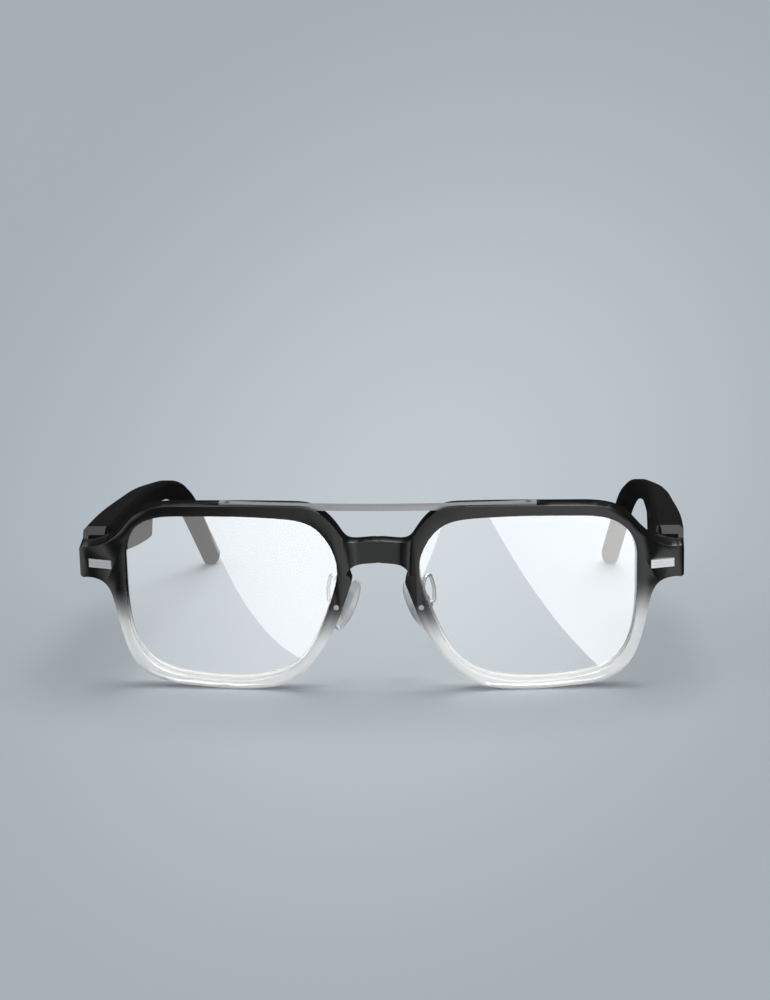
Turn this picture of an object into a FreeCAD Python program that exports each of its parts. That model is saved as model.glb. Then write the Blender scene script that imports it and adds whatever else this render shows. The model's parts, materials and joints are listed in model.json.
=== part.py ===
import FreeCAD
import Part

import math
import os
import re

import Sketcher
from FreeCAD import Matrix, Placement, Rotation, Vector

# Smart glasses: an acetate front with clear lenses, and two temples that hold the electronics.
#
# Axes: +X to the viewer's right, +Y back along the open temples, +Z up.  The origin is under the
# middle of the whole object, on the surface that it stands on.  Lengths are in millimetres, angles
# in degrees.  The front is drawn in its own leaning frame (x across, y back, z up its face) and
# then placed.  A temple is drawn on the right and mirrored to the left.

SIZES = {
    # the front
    "half_width": (74.0, "centre to the outer end of an end piece"),
    "base_radius": (275.0, "radius of the front's curve, seen from above"),
    "front_depth": (4.5, "rim, front to back"),
    "front_lean": (8.0, "lean of the front, lower edge back"),
    "front_reach": (10.1, "front's own origin ahead of the hinge face"),
    "hinge_face": (-55.85, "Y of the end pieces' rear faces"),
    "end_lead": (3.0, "deep part of an end piece inward of the hinge axis"),
    "end_low": (25.6, "lowest height of the deep part of an end piece"),
    "end_high": (36.6, "highest height of the deep part of an end piece"),
    "bridge_recess": (0.9, "how far the bridge's face lies behind the rims"),
    "bridge_flat": (5.4, "half the width of the recessed bridge face"),
    "bridge_cove": (3.0, "width of the slope from a rim to the bridge face"),
    "recess_under": (1.0, "recess's start below the bridge's underside at the middle"),
    "recess_height": (12.0, "recess, top to bottom, past the bridge on both sides"),
    # the lenses
    "lens_bite": (0.75, "how far a lens goes into its groove"),
    "lens_setback": (1.2, "lens behind the rim's face"),
    "lens_thickness": (2.0, "lens, front to back"),
    "lens_gap": (0.05, "clearance around a lens"),
    # the metal bar above the bridge
    "bar_half": (38.4, "centre to the end of the bar"),
    "bar_setback": (1.1, "bar behind the rim's face"),
    "bar_depth": (2.0, "bar, front to back"),
    "bar_height": (1.15, "bar, top to bottom"),
    "bar_level": (46.85, "underside of the bar up the front"),
    "bar_gap": (0.03, "clearance around the bar"),
    "bar_screw_at": (36.4, "centre to a bar screw"),
    "bar_screw_radius": (0.4, "bar screw shank"),
    "bar_screw_length": (0.8, "bar screw shank below the bar"),
    "bar_head_radius": (0.7, "bar screw head"),
    "bar_head_height": (0.5, "bar screw head"),
    # the ribbed plaques
    "plaque_width": (5.8, "plaque across"),
    "plaque_height": (2.1, "plaque top to bottom"),
    "plaque_depth": (0.9, "plaque front to back"),
    "plaque_inlay": (0.6, "plaque's depth in the end piece"),
    "plaque_inset": (5.4, "plaque's centre inside the outer end of an end piece"),
    "plaque_level": (30.4, "plaque's centre up the front"),
    "plaque_groove": (0.2, "groove between two ribs"),
    "plaque_pitch": (0.7, "rib to rib"),
    "plaque_gap": (0.03, "clearance around a plaque"),
    # pad arms, pads and their screws
    "rivet_at": (10.35, "centre to a pad arm's lower rivet"),
    "rivet_level": (22.2, "lower rivet up the front"),
    "rivet_lean": (20.7, "line of the two rivets, from upright"),
    "rivet_pitch": (2.4, "lower rivet to upper rivet"),
    "rivet_radius": (0.65, "rivet"),
    "rivet_proud": (0.12, "lower rivet ahead of the face"),
    "rivet_tail": (0.1, "rivets behind the arm's plate"),
    "rivet_cover": (0.5, "acetate ahead of the upper rivet"),
    "arm_plate": (0.5, "thickness of a pad arm's plate"),
    "arm_plate_width": (2.0, "width of a pad arm's plate"),
    "arm_wire": (0.45, "radius of a pad arm's wire"),
    "arm_bend": (1.0, "bend radius of a pad arm's wire"),
    "arm_stand": (0.05, "arm's wire and plate behind the front"),
    "loop_height": (5.2, "top of the arm's loop over its upper rivet"),
    "loop_back": (3.6, "arm's loop behind the rivets' plate"),
    "loop_side": (1.7, "arm's loop outward of the rivets"),
    "arm_lead": (1.6, "straight wire behind the pad box"),
    "arm_drop": (3.9, "wire's fall from its last bend to the pad box"),
    "box_length": (3.0, "pad box along the pad"),
    "box_wall": (0.5, "pad box wall"),
    "box_depth": (2.3, "pad box from its back to its open side"),
    "box_clear": (0.5, "open side of the pad box to the pad"),
    "pad_at": (9.3, "centre to the pad's centre"),
    "pad_back": (12.8, "pad's centre behind the front's own origin"),
    "pad_level": (17.9, "pad's centre up the front"),
    "pad_slant": (25.0, "pads closer at the top"),
    "pad_splay": (22.0, "pads closer at the front"),
    "pad_length": (14.0, "pad along its long axis"),
    "pad_width": (7.0, "pad across"),
    "pad_bulge": (1.5, "pad's nose side over its widest section"),
    "pad_body": (0.8, "pad's back to its widest section"),
    "insert_length": (7.0, "insert's plate in the pad, along the pad"),
    "insert_width": (3.0, "insert's plate across"),
    "insert_plate": (0.4, "insert's plate thickness"),
    "insert_cover": (0.4, "silicone behind the insert's plate"),
    "neck_width": (1.6, "neck from the insert's plate to its lug"),
    "lug_width": (1.0, "insert's lug between the box walls"),
    "lug_radius": (0.95, "insert's lug around the screw"),
    "lug_gap": (0.06, "lug to box wall, each side"),
    "pad_axis": (1.35, "pad's back to the pad screw's axis"),
    "pad_screw": (0.45, "pad screw shank radius"),
    "pad_screw_head": (0.75, "pad screw head radius"),
    "pad_head_height": (0.35, "pad screw head height"),
    "pad_screw_gap": (0.05, "pad screw in the lug, on the radius"),
    # hinges
    "hinge_inset": (0.4, "hinge axis inward of the temple's inner side"),
    "stop_gap": (0.5, "hinge knuckle to the stop"),
    "hinge_low": (28.0, "foot of the hinge"),
    "knuckle_radius": (1.9, "hinge knuckle"),
    "outer_knuckle": (1.6, "height of each front knuckle"),
    "middle_knuckle": (3.6, "height of the temple's knuckle"),
    "knuckle_gap": (0.1, "between knuckles"),
    "hinge_sweep": (0.2, "room around the knuckles"),
    "hinge_plate": (0.7, "front hinge plate thickness"),
    "plate_lead": (1.7, "front hinge plate's inner edge inward of the hinge axis"),
    "plate_lap": (1.7, "front hinge plate's outer edge inside the end piece"),
    "stop_depth": (2.4, "hinge stop behind the hinge face"),
    "stop_low": (30.0, "hinge stop's underside"),
    "stop_top": (35.4, "hinge stop's top"),
    "anchor_depth": (3.0, "hinge anchor buried in the end piece"),
    "anchor_width": (5.0, "hinge anchor across"),
    "anchor_height": (4.0, "hinge anchor top to bottom"),
    "pin_radius": (0.7, "hinge screw shank"),
    "pin_gap": (0.05, "hinge screw in the temple's knuckle, on the radius"),
    "pin_head": (1.15, "hinge screw head radius"),
    "pin_head_height": (0.45, "hinge screw head height"),
    "leaf_start": (5.2, "temple hinge leaf's front end behind the hinge face"),
    "leaf_length": (8.6, "temple hinge leaf"),
    "leaf_height": (4.6, "temple hinge leaf top to bottom"),
    "leaf_thickness": (0.9, "temple hinge leaf"),
    "leaf_screw": (0.5, "leaf screw shank radius"),
    "leaf_screw_head": (0.9, "leaf screw head radius"),
    "leaf_screw_length": (3.0, "leaf screw, head included"),
    "leaf_head_height": (0.4, "leaf screw head height"),
    "leaf_screw_pitch": (4.2, "leaf screw to leaf screw"),
    # a temple, measured back from the hinge face
    "temple_gap": (0.2, "temple's front edge to the hinge face"),
    "temple_front_low": (27.4, "underside of a temple at its front"),
    "temple_front_top": (35.6, "top of a temple's front edge"),
    "bevel_start": (2.2, "foot of the bevel at the temple's front"),
    "bevel_end": (4.1, "top of that bevel"),
    "temple_top": (38.3, "top of a temple behind the bevel"),
    "housing_length": (80.0, "hinge face to the joint with the ear piece"),
    "heel_lead": (7.4, "housing's lower rear corner ahead of the ear piece's joint"),
    "heel_level": (19.3, "housing's lower rear corner"),
    "heel_radius": (1.6, "rounding of that corner"),
    "joint_level": (29.8, "middle of the ear piece at the joint"),
    "ear_height": (5.0, "ear piece, top to underside"),
    "ear_slope": (5.5, "fall of the ear piece at the joint"),
    "ear_turn": (40.0, "turn of the ear bend"),
    "ear_lead": (8.85, "joint to the start of the ear bend"),
    "ear_radius": (30.0, "radius of the ear bend"),
    "ear_thickness": (3.9, "ear piece across"),
    "ear_foot": (0.8, "how much of the ear piece's lower corner is cut off flat"),
    "cell_room": (1.4, "spare room across a temple at the hinge"),
    "temple_bevel": (0.9, "bevel along a temple's edges"),
    "mouth_gap": (0.05, "housing's mouth ahead of the hinge axis"),
    "skin": (1.3, "outer skin that meets the end piece"),
    "tip_inset": (17.8, "how far a temple's end lies inside its front"),
    # the housing's walls and what it holds
    "wall": (1.1, "housing wall on the outer side"),
    "rim_wall": (1.1, "housing wall above and below the cover"),
    "cover_thickness": (0.9, "inner cover"),
    "cover_gap": (0.05, "clearance around the inner cover"),
    "cover_start": (14.6, "inner cover's front end"),
    "cover_tail": (9.6, "inner cover's rear end ahead of the ear piece's joint"),
    "seal_thickness": (0.3, "gasket under the cover"),
    "seal_inset": (0.3, "gasket inside the cover's edge"),
    "seal_width": (0.5, "gasket width"),
    "cell_start": (17.4, "front end of the cell"),
    "cell_length": (26.0, "cell"),
    "cell_height": (5.2, "cell"),
    "cell_thickness": (2.9, "cell"),
    "cell_level": (29.6, "underside of the cell at its front end"),
    "cell_slope": (3.6, "fall of the cell"),
    "cell_round": (0.6, "radius along the cell's long edges"),
    "inner_clear": (0.15, "gasket to what lies behind the cover"),
    "board_gap": (1.8, "board to the speaker"),
    "board_length": (11.0, "board"),
    "board_height": (5.4, "board"),
    "board_thickness": (0.8, "board"),
    "board_level": (27.3, "underside of the board"),
    "chip_length": (6.0, "chip on the board"),
    "chip_height": (3.6, "chip on the board"),
    "chip_thickness": (0.9, "chip on the board"),
    "ledge_inset": (0.1, "cavity inside the seal"),
    "end_ledge": (0.8, "cavity inside the cover's ends"),
    "cut_over": (0.01, "overlap of two cuts that meet"),
    "speaker_tail": (21.6, "front end of the speaker ahead of the ear piece's joint"),
    "speaker_length": (10.2, "speaker"),
    "speaker_height": (6.4, "speaker"),
    "speaker_thickness": (1.9, "speaker"),
    "speaker_level": (24.2, "underside of the speaker"),
    "speaker_turn": (2.6, "turn of the speaker with the housing"),
    "speaker_round": (1.5, "radius of the speaker's corners"),
    "speaker_back": (0.1, "speaker behind the cover's inner face, more than the rest"),
    "mesh_length": (6.4, "speaker mesh"),
    "mesh_height": (1.8, "speaker mesh"),
    "mesh_sunk": (0.1, "speaker mesh under the cover's face"),
    "mesh_thickness": (0.5, "speaker mesh"),
    "mic_inset": (1.0, "front end of the microphone behind the board's"),
    "mic_length": (3.0, "microphone"),
    "mic_width": (2.0, "microphone"),
    "mic_height": (0.9, "microphone"),
    "mic_level": (25.8, "underside of the microphone"),
    "mic_slope": (8.0, "fall of the microphone with the housing"),
    "mic_port": (0.45, "microphone port radius"),
    "touch_start": (19.0, "front end of the touch sensor"),
    "touch_end": (42.0, "rear end of the touch sensor"),
    "touch_thickness": (0.25, "touch sensor"),
    "touch_inset": (2.6, "touch sensor inside the housing's outline"),
    "contact_radius": (0.8, "charging contact"),
    "contact_start": (19.0, "first charging contact"),
    "contact_depth": (1.1, "charging contact through the cover"),
    "contact_pitch": (3.0, "contact to contact"),
    "contact_level": (32.0, "charging contacts' height"),
    "core_radius": (0.7, "wire core in the ear piece"),
    "core_hold": (6.5, "wire core's front end ahead of the ear piece's joint"),
    "core_reach": (36.0, "wire core's rear end behind the ear piece's joint"),
    "core_bend": (20.0, "bend radius of the wire core"),
    "core_rise": (0.25, "wire core over the middle of the ear piece in its turn"),
    "core_lead": (3.0, "wire core's straight run past the joint"),
}

doc = FreeCAD.newDocument("SmartGlasses")
sheet = doc.addObject("Spreadsheet::Sheet", "Size")
for row, (alias, (number, note)) in enumerate(SIZES.items(), start=1):
    sheet.set(f"A{row}", note)
    sheet.set(f"B{row}", str(number))
    sheet.setAlias(f"B{row}", alias)
doc.recompute()

NODES = []
ALIAS = re.compile(r"\b(" + "|".join(sorted(SIZES, key=len, reverse=True)) + r")\b")
# Sizes that follow others: each is the sum of the named ones, less those with a minus sign.
TIED = {
    "temple_inner": ("half_width", "-wall", "-touch_thickness", "-cell_thickness", "-inner_clear",
                     "-seal_thickness", "-cover_thickness", "-cell_room"),
    "hinge_x": ("temple_inner", "-hinge_inset"),
    "hinge_back": ("hinge_plate", "hinge_sweep", "knuckle_radius"),
    "stop_inner": ("hinge_x", "knuckle_radius", "stop_gap"),
    "plate_inner": ("hinge_x", "-plate_lead"),
    "plate_outer": ("half_width", "-plate_lap"),
    "end_inner": ("hinge_x", "-end_lead"),
    "plaque_at": ("half_width", "-plaque_inset"),
    "housing_heel": ("housing_length", "-heel_lead"),
    "cover_end": ("housing_length", "-cover_tail"),
    "speaker_start": ("housing_length", "-speaker_tail"),
    "board_start": ("speaker_start", "-board_gap", "-board_length"),
    "mic_start": ("board_start", "mic_inset"),
    "core_start": ("housing_length", "-core_hold"),
    "core_end": ("housing_length", "core_reach"),
}
TIED_NAME = re.compile(r"\b(" + "|".join(TIED) + r")\b")


# ---------------------------------------------------------------- helpers: sizes and objects
def size(alias):
    """A size from the sheet, or the sum that ties one to others, as a number."""
    if alias in TIED:
        return sum(-size(part[1:]) if part.startswith("-") else size(part) for part in TIED[alias])
    return float(sheet.get(alias))


def formula(text):
    """An expression for setExpression, from a formula written with the sheet's aliases."""
    while TIED_NAME.search(text):
        text = TIED_NAME.sub(lambda found: "(" + " + ".join(TIED[found[1]]).replace("+ -", "- ") + ")", text)
    return ALIAS.sub(r"Size.\1", text)


def bind(thing, **formulas):
    """Binds properties to the sheet; at_x, at_y and at_z bind the place."""
    for name, text in formulas.items():
        path = f".Placement.Base.{name[-1]}" if name.startswith("at_") else name
        thing.setExpression(path, formula(str(text)))
    return thing


def primitive(kind, name, turn=None, **formulas):
    """A Part primitive whose sizes and place follow the sheet."""
    thing = doc.addObject("Part::" + kind, name)
    if turn:
        axis, degrees = turn
        thing.Placement = Placement(Vector(), Rotation(axis, degrees))
    return bind(thing, **formulas)


def joined(name, pieces):
    """Pieces fused into one."""
    thing = doc.addObject("Part::MultiFuse", name)
    thing.Shapes = pieces
    thing.Refine = True
    return thing


def cut(name, base, tool):
    """One piece with another taken away."""
    thing = doc.addObject("Part::Cut", name)
    thing.Base = base
    thing.Tool = tool
    return thing


def group(name, pieces):
    """Separate solids that share one node."""
    thing = doc.addObject("Part::Compound", name)
    thing.Links = pieces
    return thing


def feature(name, shape, place=Placement()):
    """A coded shape as an object of the document."""
    thing = doc.addObject("Part::Feature", name)
    thing.Shape = shape
    thing.Placement = place
    return thing


def node(thing, label):
    """Gives a sub-part its label, which names its file."""
    thing.Label = label
    NODES.append(thing)
    return thing


def mirror_left(source, label):
    """The left-hand copy of a right-hand sub-part."""
    thing = doc.addObject("Part::Mirroring", label)
    thing.Source = source
    thing.Base = Vector(0, 0, 0)
    thing.Normal = Vector(1, 0, 0)
    return node(thing, label)


def pair(thing, name):
    """A right-hand sub-part and its mirrored twin, as two nodes."""
    node(thing, name + "_right")
    mirror_left(thing, name + "_left")
    return thing


def both_sides(name, thing):
    """One node that holds a right-hand piece and its mirrored twin."""
    twin = doc.addObject("Part::Mirroring", name + "_twin")
    twin.Source = thing
    twin.Normal = Vector(1, 0, 0)
    return node(group(name, [thing, twin]), name)


# ---------------------------------------------------------------- helpers: curves and solids
def line(start, end):
    return Part.LineSegment(Vector(*start), Vector(*end)).toShape()


def spline(points, closed=False):
    curve = Part.BSplineCurve()
    curve.interpolate(Points=[Vector(*p) for p in points], PeriodicFlag=closed)
    return curve.toShape()


def face_of(edges):
    return Part.Face(Part.Wire(Part.__sortEdges__(edges)))


def upright(points):
    """Outline points (across, up) as points of the front's own frame."""
    return [(across, 0, up) for across, up in points]


def block(x, y, z):
    """A box from its low and high values on each axis."""
    return Part.makeBox(x[1] - x[0], y[1] - y[0], z[1] - z[0], Vector(x[0], y[0], z[0]))


def outward(points, distance):
    """A closed smooth outline moved outward by a distance, as points (across, up)."""
    edge = spline(upright(points), closed=True)
    curve = edge.Curve
    middle = Vector(sum(p[0] for p in points) / len(points), 0,
                    sum(p[1] for p in points) / len(points))
    moved = []
    for point in upright(points):
        spot = Vector(*point)
        along = curve.tangent(curve.parameter(spot))[0]
        out = along.cross(Vector(0, 1, 0)).normalize()
        if out.dot(spot - middle) < 0:
            out = -out
        spot += out * distance
        moved.append((spot.x, spot.z))
    return moved


def bent_wire(points, bend, radius):
    """A round wire along straight runs joined by tangent arcs."""
    spots = [Vector(*p) for p in points]
    edges = []
    start = spots[0]
    for before, corner, after in zip(spots, spots[1:], spots[2:]):
        to_start = (before - corner).normalize()
        to_end = (after - corner).normalize()
        half = to_start.getAngle(to_end) / 2
        reach = bend / math.tan(half)
        first = corner + to_start * reach
        last = corner + to_end * reach
        centre = corner + (to_start + to_end).normalize() * (bend / math.sin(half))
        middle = centre + (corner - centre).normalize() * bend
        edges += [Part.LineSegment(start, first).toShape(), Part.Arc(first, middle, last).toShape()]
        start = last
    edges.append(Part.LineSegment(start, spots[-1]).toShape())
    ring = Part.Wire(Part.makeCircle(radius, spots[0], spots[1] - spots[0]))
    return Part.Wire(edges).makePipeShell([ring], True, False)


# ---------------------------------------------------------------- the front
HEIGHT_LIMIT = 60.0
BACK_LIMIT = 30.0
SIDE_LIMIT = 100.0
SHRUNK_POINTS = 25

# The outline of the right half of the front, as smooth stretches that meet at corners.
FRONT_TOP = [(0, 39.1), (4.6, 38.85), (7.4, 39.2), (9.3, 41.5), (12.4, 45.3), (16.0, 47.5), (21, 48.0),
             (34, 47.7), (47, 47.0), (55.0, 46.0), (59.4, 43.9), (62.8, 40.0), (66.2, 36.7),
             (69.6, 34.9)]
FRONT_TEMPORAL = [(70.6, 26.5), (68.0, 25.5), (66.3, 23.0), (65.4, 19.4), (64.3, 14.4), (62.6, 8.6),
                  (59.6, 3.8), (54.0, 0.9), (46.0, 0.05), (38.0, -0.15), (30.0, 0.3), (24.0, 1.6),
                  (18.6, 5.0), (14.4, 10.6), (11.1, 16.4), (8.5, 22.8), (6.5, 28.7)]
FRONT_BRIDGE_LOW = [(7.3, 31.4), (6.3, 32.4), (4.0, 33.2), (0, 33.6)]
END_TOP = 34.5
END_FOOT = 26.4
END_ROUND = 0.8

# The right lens opening, seen from the front.
OPENING = [(10.0, 33.0), (11.6, 38.2), (16.0, 43.2), (24.0, 44.9), (36.0, 45.0), (48.0, 44.4),
           (57.2, 42.4), (61.4, 38.2), (62.6, 30.0), (62.3, 19.0), (60.7, 11.0), (56.4, 4.9),
           (48.0, 2.2), (38.0, 1.75), (28.0, 2.9), (20.2, 6.8), (15.0, 14.8), (11.7, 23.5)]


def sag(across, radius=None):
    """How far the front's face lies back at a distance from the middle."""
    radius = radius or size("base_radius")
    return size("base_radius") - math.sqrt(radius ** 2 - across ** 2)


def curved_slab(front, depth, low=-10.0, high=HEIGHT_LIMIT):
    """Everything between two depths behind the front's curved face."""
    radius = size("base_radius")
    centre = Vector(0, radius, low)
    outer = Part.makeCylinder(radius - front, high - low, centre)
    inner = Part.makeCylinder(radius - front - depth, high - low, centre)
    ahead = block((-2 * radius, 2 * radius), (-radius, radius / 2), (low, high))
    return outer.cut(inner).common(ahead)


def along_depth(edges, start=-5.0, end=BACK_LIMIT):
    """An outline of the front, extruded from front to back."""
    face = face_of(edges)
    face.translate(Vector(0, start, 0))
    return face.extrude(Vector(0, end - start, 0))


def opening_prism(distance=0.0):
    points = outward(OPENING, distance) if distance else OPENING
    return along_depth([spline(upright(points), closed=True)])


def front_outline():
    """The edges of the whole outline: the right half and its mirror image."""
    half = size("half_width")
    top_corner = (half, 0, END_TOP - END_ROUND)
    low_corner = (half, 0, END_FOOT + END_ROUND)
    top_end = (half - END_ROUND, 0, END_TOP)
    low_end = (half - END_ROUND, 0, END_FOOT)
    turn = END_ROUND * (1 - math.sqrt(0.5))
    upper = Part.Arc(Vector(*top_end), Vector(half - turn, 0, END_TOP - turn), Vector(*top_corner))
    lower = Part.Arc(Vector(*low_corner), Vector(half - turn, 0, END_FOOT + turn), Vector(*low_end))
    right = [spline(upright(FRONT_TOP) + [top_end]), upper.toShape(), line(top_corner, low_corner),
             lower.toShape(), spline([low_end] + upright(FRONT_TEMPORAL)),
             line((FRONT_TEMPORAL[-1][0], 0, FRONT_TEMPORAL[-1][1]),
                  (FRONT_BRIDGE_LOW[0][0], 0, FRONT_BRIDGE_LOW[0][1])),
             spline(upright(FRONT_BRIDGE_LOW))]
    return right + [edge.mirror(Vector(), Vector(1, 0, 0)) for edge in right]


def mirrored(shape):
    return shape.mirror(Vector(), Vector(1, 0, 0))


LEAN = Rotation(Vector(1, 0, 0), size("front_lean"))
FRONT_Y = size("hinge_face") - size("front_reach")


def behind_hinge_face():
    """The space behind the end pieces, in the front's own frame."""
    space = block((-100, 100), (size("hinge_face"), size("hinge_face") + 60), (-60, 100))
    space.Placement = Placement(Vector(0, FRONT_Y, 0), LEAN).inverse()
    return space


def plaque_place():
    """Where the right plaque's back lies, facing along the front's curve."""
    across = size("plaque_at")
    turn = math.degrees(math.asin(across / size("base_radius")))
    spot = Vector(across, sag(across) + size("plaque_inlay"), size("plaque_level"))
    return Placement(spot, Rotation(Vector(0, 0, 1), turn))


def rivet_spots():
    """The right pad arm's lower and upper rivet, as (across, up)."""
    lean = math.radians(size("rivet_lean"))
    low = (size("rivet_at"), size("rivet_level"))
    pitch = size("rivet_pitch")
    return low, (low[0] - pitch * math.sin(lean), low[1] + pitch * math.cos(lean))


def rivet_shapes():
    """The right pad arm's rivets: the lower one shows at the face, the upper one stops short."""
    rear = size("front_depth") + sag(size("rivet_at")) + size("arm_plate") + size("rivet_tail")
    shapes = []
    starts = (sag(size("rivet_at")) - size("rivet_proud"), size("rivet_cover"))
    for (across, up), start in zip(rivet_spots(), starts):
        centre = Vector(across, start, up)
        shapes.append(Part.makeCylinder(size("rivet_radius"), rear - start, centre, Vector(0, 1, 0)))
    return shapes


def bar_screw_shape():
    """The right bar screw, head up, flush with the bar's top."""
    across = size("bar_screw_at")
    back = sag(across) + size("bar_setback") + size("bar_depth") / 2
    top = size("bar_level") + size("bar_height")
    head = Part.makeCylinder(size("bar_head_radius"), size("bar_head_height"),
                             Vector(across, back, top - size("bar_head_height")))
    foot = size("bar_level") - size("bar_screw_length")
    shank = Part.makeCylinder(size("bar_screw_radius"), top - foot - 0.1, Vector(across, back, foot))
    return head.fuse(shank).removeSplitter()


def hinge_anchor():
    """The buried anchor of the right front hinge, in the object's frame."""
    middle = (size("plate_inner") + size("plate_outer")) / 2
    wide = size("anchor_width") / 2
    level = hinge_middle()
    tall = size("anchor_height") / 2
    face = size("hinge_face")
    return block((middle - wide, middle + wide), (face - size("anchor_depth"), face),
                 (level - tall, level + tall))


def hinge_middle():
    return size("hinge_low") + size("outer_knuckle") + size("knuckle_gap") + size("middle_knuckle") / 2


def front_body():
    """The acetate front: rims, bridge and end pieces, without its recesses."""
    outline = along_depth(front_outline())
    band = outline.common(curved_slab(0, size("front_depth")))
    deep = curved_slab(0, BACK_LIMIT).common(
        block((size("end_inner"), 90), (-5, BACK_LIMIT), (size("end_low"), size("end_high"))))
    deep = outline.common(deep)
    body = band.fuse([deep, mirrored(deep)]).cut(behind_hinge_face())
    return body.removeSplitter()


def bridge_recess():
    """The recess in front of the bridge, with a slope at each side."""
    flat = size("bridge_flat")
    side = flat + size("bridge_cove")
    deep = size("bridge_recess")
    points = [(-side, -4), (-side, sag(side)), (-flat, deep), (flat, deep), (side, sag(side)), (side, -4)]
    low = FRONT_BRIDGE_LOW[0][1] - size("recess_under")
    wire = Part.makePolygon([Vector(x, y, low) for x, y in points + points[:1]])
    return Part.Face(wire).extrude(Vector(0, 0, size("recess_height")))


def bar_slot():
    gap = size("bar_gap")
    slot = curved_slab(size("bar_setback") - gap, size("bar_depth") + 2 * gap, size("bar_level"))
    reach = size("bar_half") + gap
    return slot.common(block((-reach, reach), (-5, BACK_LIMIT), (0, HEIGHT_LIMIT)))


def make_front(place):
    body = front_body()
    gap = size("lens_gap")
    hole = opening_prism()
    groove = opening_prism(size("lens_bite") + gap).common(
        curved_slab(size("lens_setback") - gap, size("lens_thickness") + 2 * gap))
    plaque = block((-size("plaque_width") / 2 - size("plaque_gap"),
                    size("plaque_width") / 2 + size("plaque_gap")), (-3, 0),
                   (-size("plaque_height") / 2 - size("plaque_gap"),
                    size("plaque_height") / 2 + size("plaque_gap")))
    plaque.Placement = plaque_place()
    anchor = hinge_anchor()
    anchor.Placement = place.inverse()
    right = [hole, groove, plaque, anchor, bar_screw_shape()] + rivet_shapes()
    tools = [bridge_recess(), bar_slot()]
    for tool in right:
        tools += [tool, mirrored(tool)]
    return body.cut(tools).removeSplitter()


def front_place():
    """Leans the front back and stands its lowest point at height zero."""
    trial = Placement(Vector(0, FRONT_Y, 0), LEAN)
    body = along_depth(front_outline()).common(curved_slab(0, size("front_depth")))
    body.Placement = trial
    drop = body.optimalBoundingBox(False, False).ZMin
    return Placement(Vector(0, FRONT_Y, -drop), LEAN)


FRONT = front_place()
node(feature("front_frame", make_front(FRONT), FRONT), "front_frame")


# ---------------------------------------------------------------- lenses, plaques and bar
def make_lens():
    slab = curved_slab(size("lens_setback"), size("lens_thickness"))
    return opening_prism(size("lens_bite")).common(slab)


pair(feature("lens", make_lens(), FRONT), "lens")


def origin_plane(body, role):
    return next(item for item in body.Origin.OriginFeatures if item.Role == role)


def new_sketch(body, name, role):
    sketch = body.newObject("Sketcher::SketchObject", name)
    sketch.AttachmentSupport = [(origin_plane(body, role), "")]
    sketch.MapMode = "FlatFace"
    return sketch


def rectangle(sketch, left, low, width, height):
    """A rectangle from its lower left corner, bound to the sheet."""
    first = sketch.GeometryCount
    corners = [(0, 0), (2, 0), (2, 1), (0, 1)]
    for number in range(4):
        start = Vector(*corners[number], 0)
        end = Vector(*corners[(number + 1) % 4], 0)
        sketch.addGeometry(Part.LineSegment(start, end), False)
    for number in range(4):
        sketch.addConstraint(Sketcher.Constraint("Coincident", first + number, 2,
                                                 first + (number + 1) % 4, 1))
    for number, way in enumerate(("Horizontal", "Vertical", "Horizontal", "Vertical")):
        sketch.addConstraint(Sketcher.Constraint(way, first + number))
    sides = ((first, "DistanceX", width), (first + 1, "DistanceY", height))
    for side, kind, text in sides:
        index = sketch.addConstraint(Sketcher.Constraint(kind, side, 1, side, 2, 1.0))
        sketch.setExpression(f"Constraints[{index}]", formula(text))
    for kind, text in (("DistanceX", left), ("DistanceY", low)):
        index = sketch.addConstraint(Sketcher.Constraint(kind, -1, 1, first, 1, 1.0))
        sketch.setExpression(f"Constraints[{index}]", formula(text))


def make_plaque():
    """A silver plaque with three ribs; its front face is on the body's origin plane."""
    body = doc.addObject("PartDesign::Body", "plaque")
    outline = new_sketch(body, "plaque_outline", "XZ_Plane")
    rectangle(outline, "-plaque_width / 2", "-plaque_height / 2", "plaque_width", "plaque_height")
    pad = body.newObject("PartDesign::Pad", "plaque_pad")
    pad.Profile = outline
    pad.Reversed = True
    bind(pad, Length="plaque_depth")
    doc.recompute()
    grooves = new_sketch(body, "plaque_grooves", "XZ_Plane")
    for side in ("", "-"):
        rectangle(grooves, "-plaque_width / 2 - 1", f"{side}plaque_pitch / 2 - plaque_groove / 2",
                  "plaque_width + 2", "plaque_groove")
    cutter = body.newObject("PartDesign::Pocket", "plaque_cut")
    cutter.Profile = grooves
    bind(cutter, Length="plaque_groove")
    proud = Vector(0, -size("plaque_depth"), 0)
    body.Placement = FRONT * plaque_place() * Placement(proud, Rotation())
    return body


pair(make_plaque(), "plaque")


def ring_cylinder(name, radius):
    """A tall cylinder around the axis of the front's curve."""
    thing = primitive("Cylinder", name, Radius=radius, Height="bar_height")
    thing.Placement.Base = Vector(0, size("base_radius"), 0)
    thing.setExpression(".Placement.Base.y", formula("base_radius"))
    return thing


def make_bar():
    """The metal bar: a short stretch of a ring that follows the front's curve."""
    ring = cut("bar_ring", ring_cylinder("bar_outer", "base_radius - bar_setback"),
               ring_cylinder("bar_inner", "base_radius - bar_setback - bar_depth"))
    window = primitive("Box", "bar_window", Length="2 * bar_half", Width=BACK_LIMIT, Height="bar_height",
                       at_x="-bar_half", at_y="-1")
    strip = doc.addObject("Part::Common", "bar_strip")
    strip.Base = ring
    strip.Tool = window
    screw = bar_screw_shape()
    screws = feature("bar_screw_tools", Part.makeCompound([screw, mirrored(screw)]),
                     Placement(Vector(0, 0, -size("bar_level")), Rotation()))
    bar = cut("brow_bar", strip, screws)
    bar.Placement = FRONT * Placement(Vector(0, 0, size("bar_level")), Rotation())
    return bar


node(make_bar(), "brow_bar")
node(feature("brow_bar_screws", Part.makeCompound([bar_screw_shape(), mirrored(bar_screw_shape())]), FRONT),
     "brow_bar_screws")


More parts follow.
